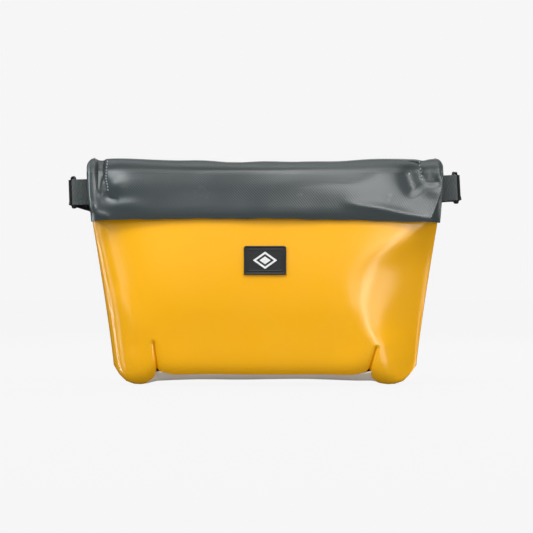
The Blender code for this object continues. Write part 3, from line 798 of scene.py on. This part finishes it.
def make_label(front):
    """A moulded rubber label: a raised rim, a thin frame line and a pebbled field."""
    surface = surface_of(front)
    rows, columns = 84, 123
    x = np.linspace(-0.5 * LABEL_WIDTH, 0.5 * LABEL_WIDTH, columns)
    z = np.linspace(LABEL_Z + 0.5 * LABEL_HEIGHT, LABEL_Z - 0.5 * LABEL_HEIGHT, rows)
    base = np.zeros((rows, columns, 3))
    for r in range(rows):
        for c in range(columns):
            base[r, c], _ = land(surface, (x[c], IN_FRONT_Y, z[r]), TO_BACK)
    corner = 0.0022
    dx = np.abs(base[..., 0]) - (0.5 * LABEL_WIDTH - corner)
    dz = np.abs(base[..., 2] - LABEL_Z) - (0.5 * LABEL_HEIGHT - corner)
    inside = corner - np.hypot(np.maximum(dx, 0.0), np.maximum(dz, 0.0)) - np.minimum(np.maximum(dx, dz), 0.0)
    outside_corner = np.maximum(-inside, 0.0)
    pull_x = np.sign(base[..., 0]) * np.maximum(dx, 0.0)
    pull_z = np.sign(base[..., 2] - LABEL_Z) * np.maximum(dz, 0.0)
    pull = unit(np.stack([pull_x, 0.0 * dx, pull_z], -1))
    base = base - pull * outside_corner[..., None]
    rim = 0.00055 * smooth(inside, -0.0002, 0.0006) * (1.0 - smooth(inside, 0.0013, 0.0019))
    line = 0.00040 * bell(inside, 0.0036, 0.00035)
    rng = np.random.default_rng(7)
    pebbles = rng.random((rows, columns))
    for _ in range(2):
        pebbles = 0.25 * (np.roll(pebbles, 1, 0) + np.roll(pebbles, 1, 1) + 2.0 * pebbles)
    field = 0.00035 * (pebbles - 0.5) * smooth(inside, 0.0044, 0.0050)
    thick = 0.0014
    outer = base.copy()
    outer[..., 1] -= GAP + thick * smooth(inside, -0.0004, 0.0005) * 0.25 + thick * 0.75 + rim + line + field
    patch = sheet("label_moulding", outer, thick, MATERIALS["rubber"], None, None, 60.0)
    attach(patch, "bag")
    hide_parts("label_patch")
    make_emblem(surface_of(patch))


def make_emblem(surface):
    """A plain diamond outline with a small solid diamond in it."""
    made = bmesh.new()

    def outline(half_x, half_z, count=12):
        corners = [(0.0, half_z), (half_x, 0.0), (0.0, -half_z), (-half_x, 0.0)]
        found = []
        for i in range(4):
            (ax, az), (bx, bz) = corners[i], corners[(i + 1) % 4]
            found += [(ax + (bx - ax) * j / count, az + (bz - az) * j / count) for j in range(count)]
        return found

    def raised(points, lift):
        spots = [land(surface, (x, IN_FRONT_Y, LABEL_Z + z), TO_BACK)[0] for x, z in points]
        return [made.verts.new(spot + Vector((0.0, -lift, 0.0))) for spot in spots]

    def band(outer_size, inner_size):
        low, high = 0.0002, 0.00062
        ends = ((outer_size, low), (outer_size, high), (inner_size, high), (inner_size, low))
        loops = [raised(outline(*size), lift) for size, lift in ends]
        for a, b in zip(loops, loops[1:] + loops[:1]):
            for i in range(len(a)):
                j = (i + 1) % len(a)
                made.faces.new([a[i], a[j], b[j], b[i]])

    band((0.0118, 0.0084), (0.0086, 0.0061))
    band((0.0054, 0.0038), (0.0002, 0.00015))
    bmesh.ops.recalc_face_normals(made, faces=made.faces)
    mesh = bpy.data.meshes.new("label_diamond")
    made.to_mesh(mesh)
    made.free()
    mesh.materials.append(MATERIALS["ink"])
    emblem = bpy.data.objects.new("label_diamond", mesh)
    bpy.context.scene.collection.objects.link(emblem)
    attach(emblem, "bag")
    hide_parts("label_emblem")


# Lid

# How far the lid's outline stands from the middle at each height.
LID_SIDE = {
    "left": ((0.158, 0.1692), (0.168, 0.1700), (0.183, 0.1730), (0.206, 0.1744), (0.2195, 0.1742)),
    "right": ((0.158, 0.1704), (0.170, 0.1716), (0.190, 0.1734), (0.204, 0.1744), (0.2195, 0.1738)),
}
# Width of the turn from the front to the end at each height.
LID_CORNER = {
    "left": (
        (0.158, 0.0085), (0.163, 0.0065), (0.170, 0.0045), (0.185, 0.0042), (0.200, 0.0058), (0.2195, 0.0060),
    ),
    "right": (
        (0.158, 0.0105), (0.1672, 0.0082), (0.1755, 0.0055), (0.1844, 0.0026), (0.1927, 0.0016),
        (0.1990, 0.0016), (0.2050, 0.0046), (0.2195, 0.0060),
    ),
}
FRONT_COLUMNS = 236
CORNER_COLUMNS = 14
END_COLUMNS = 14
LID_WALL_ROWS = 48
LID_EDGE_ROWS = 9
LID_TOP_ROWS = 26


def hem_z(x):
    """The lid's lower edge: highest in the middle, lowest at the ends."""
    share = np.abs(x) / 0.168
    drop = np.where(x < 0.0, 0.0020 * share**4.0, 0.0036 * share**1.4)
    return 0.1615 - drop + ripple(x, 0.0 * x, [(0.00025, 0.075, 0.0, 0.5), (0.00018, 0.031, 0.0, 2.0)])


def lid_front_y(x, z):
    """The lid's front before its folds."""
    full = 0.0017 * smooth(z, 0.1540, 0.1730) * (1.0 - smooth(z, 0.1900, 0.2160))
    flat = 1.0 - 0.6 * smooth(np.abs(x), 0.110, 0.165)
    tuck = 0.0012 * (1.0 - smooth(z, 0.1560, 0.1670))
    bowed = 0.0085 * np.where(x < 0.0, (np.abs(x) / 0.165) ** 2.6, smooth(x, 0.030, 0.168))
    return -(half_depth(np.minimum(z, MOUTH_Z)) + LID_STANDOFF) - full * flat + tuck + bowed


def lid_plan(z, inset):
    """A row of the lid's outline seen from above: from the left end's rear, round the front."""
    found = []
    for side, sign in SIDES.items():
        reach = table_at(LID_SIDE[side], z) - inset
        turn = np.maximum(table_at(LID_CORNER[side], z) - 0.8 * inset, 0.0006)
        deep = np.maximum((0.0085 if side == "left" else 0.0105) - inset, 0.0006)
        straight = 0.75 * (1.0 - smooth(z, 0.170, 0.196)) * (1.0 if side == "right" else 0.4)
        front_y = lid_front_y(sign * (reach - turn), z) + inset
        t = np.linspace(0.0, 1.0, CORNER_COLUMNS + 1)[1:]
        round_x, round_y = np.sin(0.5 * math.pi * t), 1.0 - np.cos(0.5 * math.pi * t)
        x = reach - turn + turn * (round_x + (t - round_x) * straight)
        y = front_y + deep * (round_y + (t - round_y) * straight)
        t = np.linspace(0.0, 1.0, END_COLUMNS + 1)[1:]
        end_y = front_y + deep + (LID_RETURN_Y - front_y - deep) * t
        xs = np.concatenate([x, np.full(END_COLUMNS, reach)])
        ys = np.concatenate([y, end_y])
        found.append((sign * xs, ys, reach - turn))
    (left_x, left_y, left_reach), (right_x, right_y, right_reach) = found
    front_x = np.linspace(-left_reach, right_reach, FRONT_COLUMNS + 1)
    front_y = lid_front_y(front_x, z) + inset
    x = np.concatenate([left_x[::-1], front_x, right_x])
    y = np.concatenate([left_y[::-1], front_y, right_y])
    return x, y


def lid_top_shift(x):
    """How the top's outline, seen from the front, departs from a straight line."""
    bumps = 0.0014 * bell(x, -0.134, 0.018) + 0.0015 * bell(x, 0.134, 0.020)
    sag = -0.0021 * (1.0 - smooth(np.abs(x), 0.020, 0.125))
    peaks = 0.0012 * bell(x, -0.1675, 0.0060) + 0.0006 * bell(x, 0.1680, 0.0060)
    notches = -0.0010 * bell(x, -0.1600, 0.0050) - 0.0012 * bell(x, 0.1540, 0.0045)
    return bumps + sag + peaks + notches


LID_DART = {
    "left": [(-0.1555, 0.2195), (-0.1567, 0.2088), (-0.1565, 0.2010), (-0.1551, 0.1950), (-0.1546, 0.1885)],
    "right": [(0.1518, 0.2190), (0.1532, 0.2100), (0.1549, 0.1991)],
}


def lid_relief(x, z):
    """Folds of the lid's front, outwards."""
    total = ripple(x, z, [(0.00050, 0.120, 12.0, 0.2), (0.00030, 0.070, -28.0, 1.1)])
    # Left end: a rolled end and a curved fold under the seam.
    total += crease(x, z, LID_DART["left"], 0.0012, 0.0020)
    curved_fold = [(-0.1546, 0.1890), (-0.1528, 0.1835), (-0.1490, 0.1810), (-0.1400, 0.1797)]
    total += crease(x, z, curved_fold, 0.0024, 0.0014, 0.3)
    total += swelling(x, z, (-0.1450, 0.1940), (0.0100, 0.0085), 0.0026)
    total += swelling(x, z, (-0.1450, 0.2110), (0.0100, 0.0050), -0.0010)
    total += swelling(x, z, (-0.1380, 0.1745), (0.0180, 0.0060), 0.0014)
    end_roll = [(-0.1688, 0.2160), (-0.1690, 0.1960), (-0.1675, 0.1780), (-0.1655, 0.1680)]
    total += ridge(x, z, end_roll, 0.0034, 0.0016)
    hem_roll = [(-0.1700, 0.1780), (-0.1660, 0.1700), (-0.1590, 0.1650), (-0.1480, 0.1635)]
    total += ridge(x, z, hem_roll, 0.0034, 0.0012)
    # Right end: the dart, a level crease beside it and the long fold above the hem.
    total += crease(x, z, LID_DART["right"], 0.0016, 0.0016)
    level_crease = [(0.1549, 0.1991), (0.1585, 0.1972), (0.1640, 0.1970), (0.1715, 0.1990)]
    total += crease(x, z, level_crease, 0.0024, 0.0015, 0.3)
    total += swelling(x, z, (0.1640, 0.1900), (0.0100, 0.0070), 0.0012)
    valley = [(0.1370, 0.2150), (0.1400, 0.2040), (0.1440, 0.1930), (0.1500, 0.1830)]
    total += ridge(x, z, valley, 0.0085, -0.0024, 0.3)
    total += swelling(x, z, (0.1690, 0.2050), (0.0040, 0.0070), 0.0014)
    long_fold = [(0.0700, 0.1760), (0.0920, 0.1742), (0.1120, 0.1712), (0.1390, 0.1656), (0.1580, 0.1614)]
    total += ridge(x, z, long_fold + [(0.1680, 0.1590)], 0.0044, 0.0010)
    total += swelling(x, z, (0.0700, 0.1945), (0.0480, 0.0230), 0.0026)
    total += swelling(x, z, (0.1100, 0.2070), (0.0160, 0.0080), 0.0009)
    total += swelling(x, z, (-0.0600, 0.1900), (0.0500, 0.0180), -0.0012)
    return total


def lid_grid():
    """The lid from its hem up the walls, round the top edge and back to the hinge. Rows run down."""
    rows = []
    edge_z = LID_TOP_Z - LID_EDGE
    for h in np.linspace(0.0, 1.0, LID_WALL_ROWS + 1)[:-1]:
        x, _ = lid_plan(0.161 + (edge_z - 0.161) * h, 0.0)
        low = hem_z(x)
        z = low + (edge_z - low) * h
        level = float(np.mean(z))
        x, y = lid_plan(level, 0.0)
        rows.append(np.stack([x, y, z], -1))
    for angle in np.linspace(0.0, 0.5 * math.pi, LID_EDGE_ROWS + 1):
        inset = LID_EDGE * (1.0 - math.cos(angle))
        x, y = lid_plan(edge_z, inset)
        z = np.full(x.shape, edge_z + LID_EDGE * math.sin(angle))
        rows.append(np.stack([x, y, z], -1))
    last = rows[-1]
    outer_columns = CORNER_COLUMNS + END_COLUMNS
    target = last[:, 0].copy()
    spread = np.linspace(0.0, 1.0, outer_columns + 1)[1:]
    target[:outer_columns] = (last[outer_columns, 0] - 0.0050 * spread)[::-1]
    target[-outer_columns:] = last[-outer_columns - 1, 0] + 0.0050 * spread
    for q in np.linspace(0.0, 1.0, LID_TOP_ROWS + 1)[1:]:
        x = last[:, 0] + (target - last[:, 0]) * smooth(q, 0.0, 1.0)
        y = last[:, 1] + (LID_BACK_Y - last[:, 1]) * q
        z = LID_TOP_Z - 0.0008 * smooth(y, -0.016, 0.004) - 0.0022 * smooth(y, 0.004, LID_BACK_Y)
        z -= 0.0042 * smooth(np.abs(x), 0.100, 0.160) * smooth(y, -0.004, LID_BACK_Y)
        rows.append(np.stack([x, y, z], -1))
    return np.array(rows)[::-1]


def lid_shift_share(y):
    """The outline's shape fades towards the hinge."""
    return 1.0 - 0.55 * smooth(y, -0.006, 0.018)


def sculpted_lid():
    grid = lid_grid()
    normals = grid_normals(grid)
    x, y, z = grid[..., 0], grid[..., 1], grid[..., 2]
    facing = np.clip(-normals[..., 1], 0.0, 1.0)
    lift = lid_relief(x, z) * smooth(facing, 0.0, 0.8)
    grid = grid + normals * lift[..., None]
    # A hollow beside the sewn dart of the left end, deepest at the top.
    left_side = np.interp(z, [0.184, 0.220], [-0.1632, -0.1652])
    right_side = np.interp(z, [0.184, 0.201, 0.218], [-0.1610, -0.1576, -0.1560])
    hollow = smooth(x, left_side - 0.0002, left_side + 0.0014)
    hollow = hollow * (1.0 - smooth(x, right_side - 0.0012, right_side + 0.0004))
    hollow = hollow * np.clip((z - 0.182) / 0.034, 0.0, 1.0) * (1.0 - smooth(y, -0.020, -0.002))
    grid[..., 1] += 0.0088 * hollow
    grid[..., 2] -= 0.0016 * hollow
    upper = smooth(z, 0.2040, 0.2150) * lid_shift_share(y)
    grid[..., 2] += lid_top_shift(x) * upper
    top_waves = ripple(x, y, [(0.0004, 0.083, 10.0, 0.7), (0.0003, 0.041, -40.0, 0.1)])
    grid[..., 2] += top_waves * smooth(normals[..., 2], 0.5, 1.0)
    return grid


def make_lid():
    grid = sculpted_lid()
    lid = sheet("lid_shell", grid, LID_WALL, MATERIALS["grey"], None, None, 60.0)
    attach(lid, "lid")
    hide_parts("lid_panel")
    surface = surface_of(lid)
    for side, offset, pitch, slant_deg in (("left", 0.0020, 0.0030, 20.0), ("right", -0.0016, 0.0036, -38.0)):
        path = [(px + offset, 0.0, pz - 0.0012) for px, pz in LID_DART[side]]
        spots = sewn_on(surface, path, TO_BACK)
        name = "lid_stitches_" + side
        stitch_row(name, spots, MATERIALS["thread_grey"], "lid", pitch, 0.0020, 0.00055, slant_deg)
    make_lid_trim()
    return lid


def make_lid_trim():
    """The tape inside the lid's hem, and the board under its top."""
    x = np.linspace(-0.146, 0.146, 121)[None, :]
    share = np.linspace(1.0, 0.0, 7)[:, None]
    z = hem_z(x) + 0.0012 + 0.0080 * share
    y = lid_front_y(x, z) + LID_WALL + GAP + 0.0006
    tape = sheet("lid_hem_tape", np.stack(np.broadcast_arrays(x, y, z), -1), 0.0008, MATERIALS["grey"])
    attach(tape, "lid")
    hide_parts("lid_hem")
    x = np.linspace(-0.150, 0.150, 101)[None, :]
    y = np.linspace(0.0140, -0.0180, 15)[:, None]
    shift = lid_top_shift(x) * (1.0 - smooth(y, -0.006, 0.018))
    top = LID_TOP_Z + shift - 0.0026 * smooth(y, 0.006, LID_BACK_Y)
    z = top - LID_WALL - 0.0012
    board = sheet("lid_board", np.stack(np.broadcast_arrays(x, y, z), -1), 0.0010, MATERIALS["board"])
    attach(board, "lid")
    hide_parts("lid_stiffener")


def make_hinge_flap():
    """The strip that joins the lid to the back panel, curved over from one to the other."""
    columns = 91
    x = np.linspace(FLAP_HALF_WIDTH, -FLAP_HALF_WIDTH, columns)
    rows = []
    for y, below in ((0.0065, 0.0003), (0.0130, 0.0010), (0.0190, 0.0024), (0.0232, 0.0056)):
        top = lid_top_shift(x) * lid_shift_share(np.full(columns, y))
        rows.append(np.stack([x, np.full(columns, y), LID_TOP_Z - below + top], -1))
    for z in (0.2085, 0.2045, 0.2000):
        y = depth_at(x / half_width(z), z) + 0.0016
        rows.append(np.stack([x, y, np.full(columns, z)], -1))
    grid = curve_through(rows, 7)
    flap = sheet("hinge_flap", grid, 0.0009, MATERIALS["grey"], None, None, 60.0)
    surface = surface_of(flap)
    for name, body, y, z, heading, back_off in (
        ("flap_stitches_upper", "bag", 0.0, 0.2060, TO_FRONT, 0.3),
        ("flap_stitches_lower", "bag", 0.0, 0.2020, TO_FRONT, 0.3),
        ("flap_stitches_top", "lid", 0.0105, 0.0, DOWN, 0.4),
    ):
        path = [(at, y, z) for at in (FLAP_STITCH_X, 0.0, -FLAP_STITCH_X)]
        spots = sewn_on(surface, path, heading, 60, back_off)
        stitch_row(name, spots, MATERIALS["thread_grey"], body, 0.0034, 0.0025, 0.00030)
    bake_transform(flap)


# Side fittings


def bar_centre(side):
    return Vector((SIDES[side] * RING_X[side], 0.0, RING_Z[side]))


def ring_tilt(side):
    return Matrix.Rotation(math.radians(-SIDES[side] * RING_TILT_DEG[side]), 4, "Y")


def ring_turn(side):
    return Matrix.Rotation(math.radians(-SIDES[side] * RING_TURN_DEG), 4, "Z")


def lean(made, side):
    """Leans upright webbing with its ring."""
    centre = bar_centre(side)
    made.data.transform(Matrix.Translation(centre) @ ring_tilt(side) @ Matrix.Translation(-centre))
    return made


def make_tab(side):
    sign = SIDES[side]
    radius = RING_BAR + TURN_GAP + 0.5 * TAB_THICK
    centre = bar_centre(side)
    seam_x = sign * (HALF_WIDTH_NECK + 0.0012)
    turn = half_turn(centre, radius, -90.0, sign * 180.0)
    near = Vector((seam_x, -TAB_LAYER_Y, RING_Z[side]))
    far = Vector((seam_x, TAB_LAYER_Y, RING_Z[side]))
    out = Vector((sign * 0.006, 0.0, 0.0))
    bulge = Vector((0.0, -0.0005, 0.0))
    route = along_line(near, near + out + bulge, 5) + along_line(near + out + bulge, turn[0], 6) + turn
    route += along_line(turn[-1], far + out - bulge, 6)[1:] + along_line(far + out - bulge, far, 5) + [far]
    tab = lean(ribbon("tab_web_" + side, route, WEBBING, TAB_THICK, MATERIALS["webbing_grey"]), side)
    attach(tab, "bag")
    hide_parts("tab_" + side)


def make_ring(side):
    """A rectangular loop of round bar with rounded corners."""
    corner = 0.0018
    sides = 20
    arc = 8
    centres = [
        (RING_LENGTH - corner, RING_HALF_WIDTH - corner, 0.0),
        (corner, RING_HALF_WIDTH - corner, 90.0),
        (corner, -RING_HALF_WIDTH + corner, 180.0),
        (RING_LENGTH - corner, -RING_HALF_WIDTH + corner, 270.0),
    ]
    place = Matrix.Translation(bar_centre(side)) @ ring_tilt(side) @ ring_turn(side)
    points, faces = [], []
    loops = 0
    for along, height, start in centres:
        for step in range(arc + 1):
            angle = math.radians(start + 90.0 * step / arc)
            out = Vector((0.0, math.cos(angle), math.sin(angle)))
            middle = Vector((0.0, along, height)) + out * corner
            for i in range(sides):
                turn = 2.0 * math.pi * i / sides
                offset = out * math.cos(turn) + Vector((math.sin(turn), 0.0, 0.0))
                points.append(place @ (middle + offset * RING_BAR))
            loops += 1
    for a in range(loops):
        b = (a + 1) % loops
        for i in range(sides):
            j = (i + 1) % sides
            faces.append([a * sides + i, a * sides + j, b * sides + j, b * sides + i])
    ring = make_mesh("ring_bar_" + side, points, faces, None, MATERIALS["ring"], 50.0)
    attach(ring, "ring_" + side)
    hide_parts("ring_" + side)


def strap_start(side):
    return Vector((SIDES[side] * 0.1805, 0.0150, RING_Z[side] - 0.003))


def back_route(side):
    sign = SIDES[side]
    rise = 0.0100 if side == "right" else 0.0
    inner = [
        (0.1700, 0.0225, STRAP_Z + 0.0160 + rise),
        (0.1550, 0.0285, STRAP_Z + 0.0120 + 0.8 * rise),
        (0.1350, 0.0325, STRAP_Z + 0.0065 + 0.4 * rise),
        (KEEPER_X, 0.0345, STRAP_Z + 0.0030),
        (0.0900, 0.0361, STRAP_Z + 0.0015),
        (0.0620, 0.0375, STRAP_Z + 0.0005),
    ]
    return [strap_start(side)] + [Vector((sign * x, y, z)) for x, y, z in inner]


def fold_route(side):
    """Round the ring's outer bar, from the sewn-back end to where the strap leads off."""
    sign = SIDES[side]
    radius = RING_BAR + TURN_GAP + 0.5 * STRAP_THICK
    outer_bar = bar_centre(side) + ring_turn(side) @ Vector((0.0, RING_LENGTH, 0.0))
    lead = (strap_start(side) - outer_bar).normalized()
    heading = math.degrees(math.atan2(lead.y, lead.x))
    turn = half_turn(outer_bar, radius, heading + sign * 90.0, sign * 180.0)
    return outer_bar, lead, turn


def make_strap_outer(side):
    """The outer end of the strap: folded round the ring and sewn back on itself."""
    outer_bar, lead, turn = fold_route(side)
    inner_x = 0.150
    onward = route_through([turn[-1] + lead * 0.004] + back_route(side)[1:])
    onward = [p for p in onward if abs(p.x) > inner_x]
    sewn = [turn[0] + lead * 0.0040 * i / 4 for i in range(4, 0, -1)]
    path = sewn + turn + [turn[-1] + lead * 0.002] + onward
    made = lean(ribbon("strap_outer_" + side, path, WEBBING, STRAP_THICK, MATERIALS["webbing_black"]), side)
    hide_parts("strap_end_" + side)
    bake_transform(made)


def bar_turn(bar_x, facing):
    radius = BUCKLE_BAR + TURN_GAP + 0.5 * STRAP_THICK
    return half_turn(Vector((bar_x, BUCKLE_Y, STRAP_Z)), radius, -90.0, facing * 180.0)


def make_straps():
    for side in SIDES:
        make_strap_outer(side)
    left = back_route("left")[1:] + [Vector((-0.0500, 0.0384, STRAP_Z)), Vector((-0.0400, 0.0393, STRAP_Z))]
    left = route_through(left) + bar_turn(-0.0325, 1.0)
    tail = [(-0.0395, 0.0443, STRAP_Z), (-0.0480, 0.0424, STRAP_Z), (-0.0580, 0.0404, STRAP_Z + 0.0004)]
    left += route_through(tail, 6)
    made = ribbon("strap_web_left", left, WEBBING, STRAP_THICK, MATERIALS["webbing_black"])
    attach(made, "bag")
    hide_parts("strap_left")
    right = back_route("right")[1:] + [Vector((0.0500, 0.0386, STRAP_Z)), Vector((0.0380, 0.0396, STRAP_Z))]
    right = route_through(right) + bar_turn(0.0285, -1.0)
    tail = [(0.0400, 0.0438, STRAP_Z), (0.0520, 0.0425, STRAP_Z), (0.0660, 0.0412, STRAP_Z)]
    right += route_through(tail, 6)
    made = ribbon("strap_web_right", right, WEBBING, STRAP_THICK, MATERIALS["webbing_black"])
    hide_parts("strap_right", "strap_tail")
    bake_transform(made)


def make_keeper(side):
    sign = SIDES[side]
    hump_y = 0.0355 + 0.5 * STRAP_THICK + 0.0006 + GAP
    route = []
    steps = 44
    for i in range(steps + 1):
        z = KEEPER_Z + KEEPER_HALF_HEIGHT * (-1.0 + 2.0 * i / steps)
        skin_y = float(depth_at((KEEPER_X - 0.5 * KEEPER_WIDTH) / half_width(z), z)) + 0.0013
        lift = 1.0 - float(smooth(abs(z - KEEPER_Z), 0.0140, 0.0195))
        route.append(Vector((sign * KEEPER_X, skin_y + (hump_y - skin_y) * lift, z)))
    weave, across = MATERIALS["webbing_grey"], (1.0, 0.0, 0.0)
    made = ribbon("keeper_web_" + side, route, KEEPER_WIDTH, KEEPER_THICK, weave, across)
    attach(made, "bag")
    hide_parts("keeper_" + side)
    surface = surface_of(made)
    for end, sign_z in (("upper", 1.0), ("lower", -1.0)):
        z = KEEPER_Z + sign_z * 0.0215
        path = [(sign * KEEPER_X + off, 0.0, z) for off in (-0.008, 0.0, 0.008)]
        name = "keeper_stitches_%s_%s" % (side, end)
        spots = sewn_on(surface, path, TO_FRONT)
        stitch_row(name, spots, MATERIALS["thread_grey"], "bag", 0.0026, 0.0019, 0.0003)


def repaint(node, material):
    """Gives a CAD node a finished material."""
    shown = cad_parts[node]
    shown.data.materials.clear()
    shown.data.materials.append(material)


def finish_cad_nodes():
    for node in ("buckle_female", "buckle_male", "prong_upper", "prong_lower"):
        repaint(node, MATERIALS["plastic"])
    for node in ("mouth_hem_front", "mouth_hem_back", "seam_tape_left", "seam_tape_right"):
        repaint(node, MATERIALS["webbing_grey"])
    repaint("loop_strip", MATERIALS["loops"])
    repaint("hook_strip", MATERIALS["hooks"])
    repaint("base_board", MATERIALS["board"])


# Studio


def emission(name, colour, strength):
    made = bpy.data.materials.new(name)
    made.use_nodes = True
    nodes = made.node_tree.nodes
    nodes.clear()
    out = nodes.new("ShaderNodeOutputMaterial")
    glow = nodes.new("ShaderNodeEmission")
    glow.inputs["Color"].default_value = (*colour, 1.0)
    glow.inputs["Strength"].default_value = strength
    made.node_tree.links.new(glow.outputs[0], out.inputs["Surface"])
    return made


def make_stage():
    """A pale floor and a pale surround that only the camera sees."""
    bpy.ops.mesh.primitive_circle_add(vertices=96, radius=8.0, fill_type="NGON", location=(0.0, 0.0, -0.0002))
    floor = bpy.context.object
    floor.name = "studio_floor"
    paint = Paint("studio_floor_paint", (0.02, 0.02, 0.02), 1.0, Specular_IOR_Level=0.0)
    paint.shader.inputs["Emission Color"].default_value = (1.0, 1.0, 1.0, 1.0)
    paint.shader.inputs["Emission Strength"].default_value = 0.894
    floor.data.materials.append(paint.material)
    bpy.ops.mesh.primitive_uv_sphere_add(segments=48, ring_count=24, radius=9.0)
    surround = bpy.context.object
    surround.name = "studio_surround"
    surround.data.materials.append(emission("studio_surround_paint", (0.922, 0.922, 0.922), 1.0))
    for hidden in (floor, surround):
        hidden.visible_diffuse = False
        hidden.visible_glossy = False
        hidden.visible_transmission = False
        hidden.visible_shadow = False


def softbox(name, azimuth_deg, elevation_deg, distance, size, power, colour=(1.0, 1.0, 1.0), lit=None):
    """A rectangular light. Azimuth 0 is in front of the bag and 90 on its right.

    With a list of lit objects it only puts a highlight on those, and with an empty list it has no highlight.
    """
    data = bpy.data.lights.new(name, "AREA")
    data.shape = "RECTANGLE"
    data.size, data.size_y = size
    data.energy = power
    data.color = colour
    light = bpy.data.objects.new(name, data)
    azimuth, elevation = math.radians(azimuth_deg), math.radians(elevation_deg)
    level = distance * math.cos(elevation)
    away = Vector((level * math.sin(azimuth), -level * math.cos(azimuth), distance * math.sin(elevation)))
    light.location = Vector((0.0, 0.0, 0.12)) + away
    light.rotation_euler = (-away).to_track_quat("-Z", "Y").to_euler()
    bpy.context.scene.collection.objects.link(light)
    if lit is not None:
        light.visible_diffuse = not lit
        light.visible_glossy = bool(lit)
    if lit:
        receivers = bpy.data.collections.new(name + "_receivers")
        for thing in lit:
            receivers.objects.link(thing)
        light.light_linking.receiver_collection = receivers


def make_lights(front, lid):
    world = bpy.data.worlds.new("studio_world")
    world.use_nodes = True
    tree = world.node_tree
    sky = tree.nodes["Background"]
    sky.inputs["Color"].default_value = (0.97, 0.985, 1.0, 1.0)
    heading = tree.nodes.new("ShaderNodeTexCoord")
    axes = tree.nodes.new("ShaderNodeSeparateXYZ")
    height = tree.nodes.new("ShaderNodeMapRange")
    for socket, value in (("From Min", -1.0), ("From Max", 1.0), ("To Min", 0.32), ("To Max", 1.02)):
        height.inputs[socket].default_value = value
    tree.links.new(heading.outputs["Generated"], axes.inputs[0])
    tree.links.new(axes.outputs["Z"], height.inputs["Value"])
    tree.links.new(height.outputs["Result"], sky.inputs["Strength"])
    world.cycles_visibility.glossy = False
    bpy.context.scene.world = world
    cool, warm, white = (0.93, 0.98, 1.0), (1.0, 0.985, 0.96), (1.0, 1.0, 1.0)
    slate = (0.88, 0.98, 1.0)
    softbox("light_top", 0.0, 62.0, 2.0, (1.6, 0.8), 24.0, white)
    softbox("light_back", 165.0, 35.0, 2.0, (1.4, 0.9), 22.0, white)
    softbox("light_fill_left", -62.0, 22.0, 2.4, (1.0, 1.0), 13.0, cool, [])
    softbox("light_fill_right", 62.0, 8.0, 2.4, (1.0, 1.0), 6.0, warm, [])
    # Highlights of the amber front: the bend on the right, its haze, and the rolled left edge.
    softbox("light_front", 0.0, 22.0, 2.2, (2.0, 0.50), 1.9, white, [front])
    softbox("light_bend", 40.0, 6.0, 2.2, (0.52, 0.90), 9.5, warm, [front])
    softbox("light_bend_outer", 60.0, 4.0, 2.2, (0.90, 1.00), 8.5, warm, [front])
    softbox("light_bend_inner", 27.0, 16.0, 2.2, (0.80, 0.60), 5.0, warm, [front])
    softbox("light_left_rim", -122.0, -2.0, 2.0, (0.11, 1.20), 4.5, white, [front])
    softbox("light_left_edge", -99.0, 0.0, 2.0, (0.10, 1.20), 2.6, white, [front])
    softbox("light_left_low", -60.0, 4.0, 2.2, (0.80, 0.40), 2.0, white, [front])
    # Highlights of the lid: the swelling on the right, both ends, the dimple, the left and the low folds.
    softbox("light_lid", 20.0, 28.0, 2.2, (0.26, 0.40), 16.0, white, [lid])
    softbox("light_lid_left_end", -104.0, 8.0, 2.0, (1.10, 1.20), 24.0, slate, [lid])
    softbox("light_lid_right_end", 128.0, 4.0, 2.0, (0.16, 1.20), 3.0, white, [lid])
    softbox("light_lid_dimple", -40.0, 57.0, 2.2, (0.44, 0.40), 7.0, slate, [lid])
    softbox("light_lid_left", -38.0, 42.0, 2.2, (0.40, 0.50), 3.5, slate, [lid])
    softbox("light_lid_low", 0.0, -24.0, 2.0, (1.60, 0.76), 0.6, slate, [lid])


def make_camera():
    data = bpy.data.cameras.new("photo_camera")
    camera = bpy.data.objects.new("photo_camera", data)
    distance = 3.2
    span = 0.5225
    data.sensor_width = 36.0
    data.lens = data.sensor_width * distance / span
    data.clip_end = 60.0
    camera.location = (0.0014, -distance, 0.1152)
    camera.rotation_euler = (0.5 * math.pi, 0.0, 0.0)
    bpy.context.scene.collection.objects.link(camera)
    bpy.context.scene.camera = camera


def main():
    front = make_bag()
    make_label(front)
    lid = make_lid()
    make_hinge_flap()
    for side in SIDES:
        make_tab(side)
        make_ring(side)
        make_keeper(side)
    make_straps()
    finish_cad_nodes()
    make_stage()
    make_lights(front, lid)
    make_camera()
    bpy.context.scene.view_settings.view_transform = "Standard"


main()
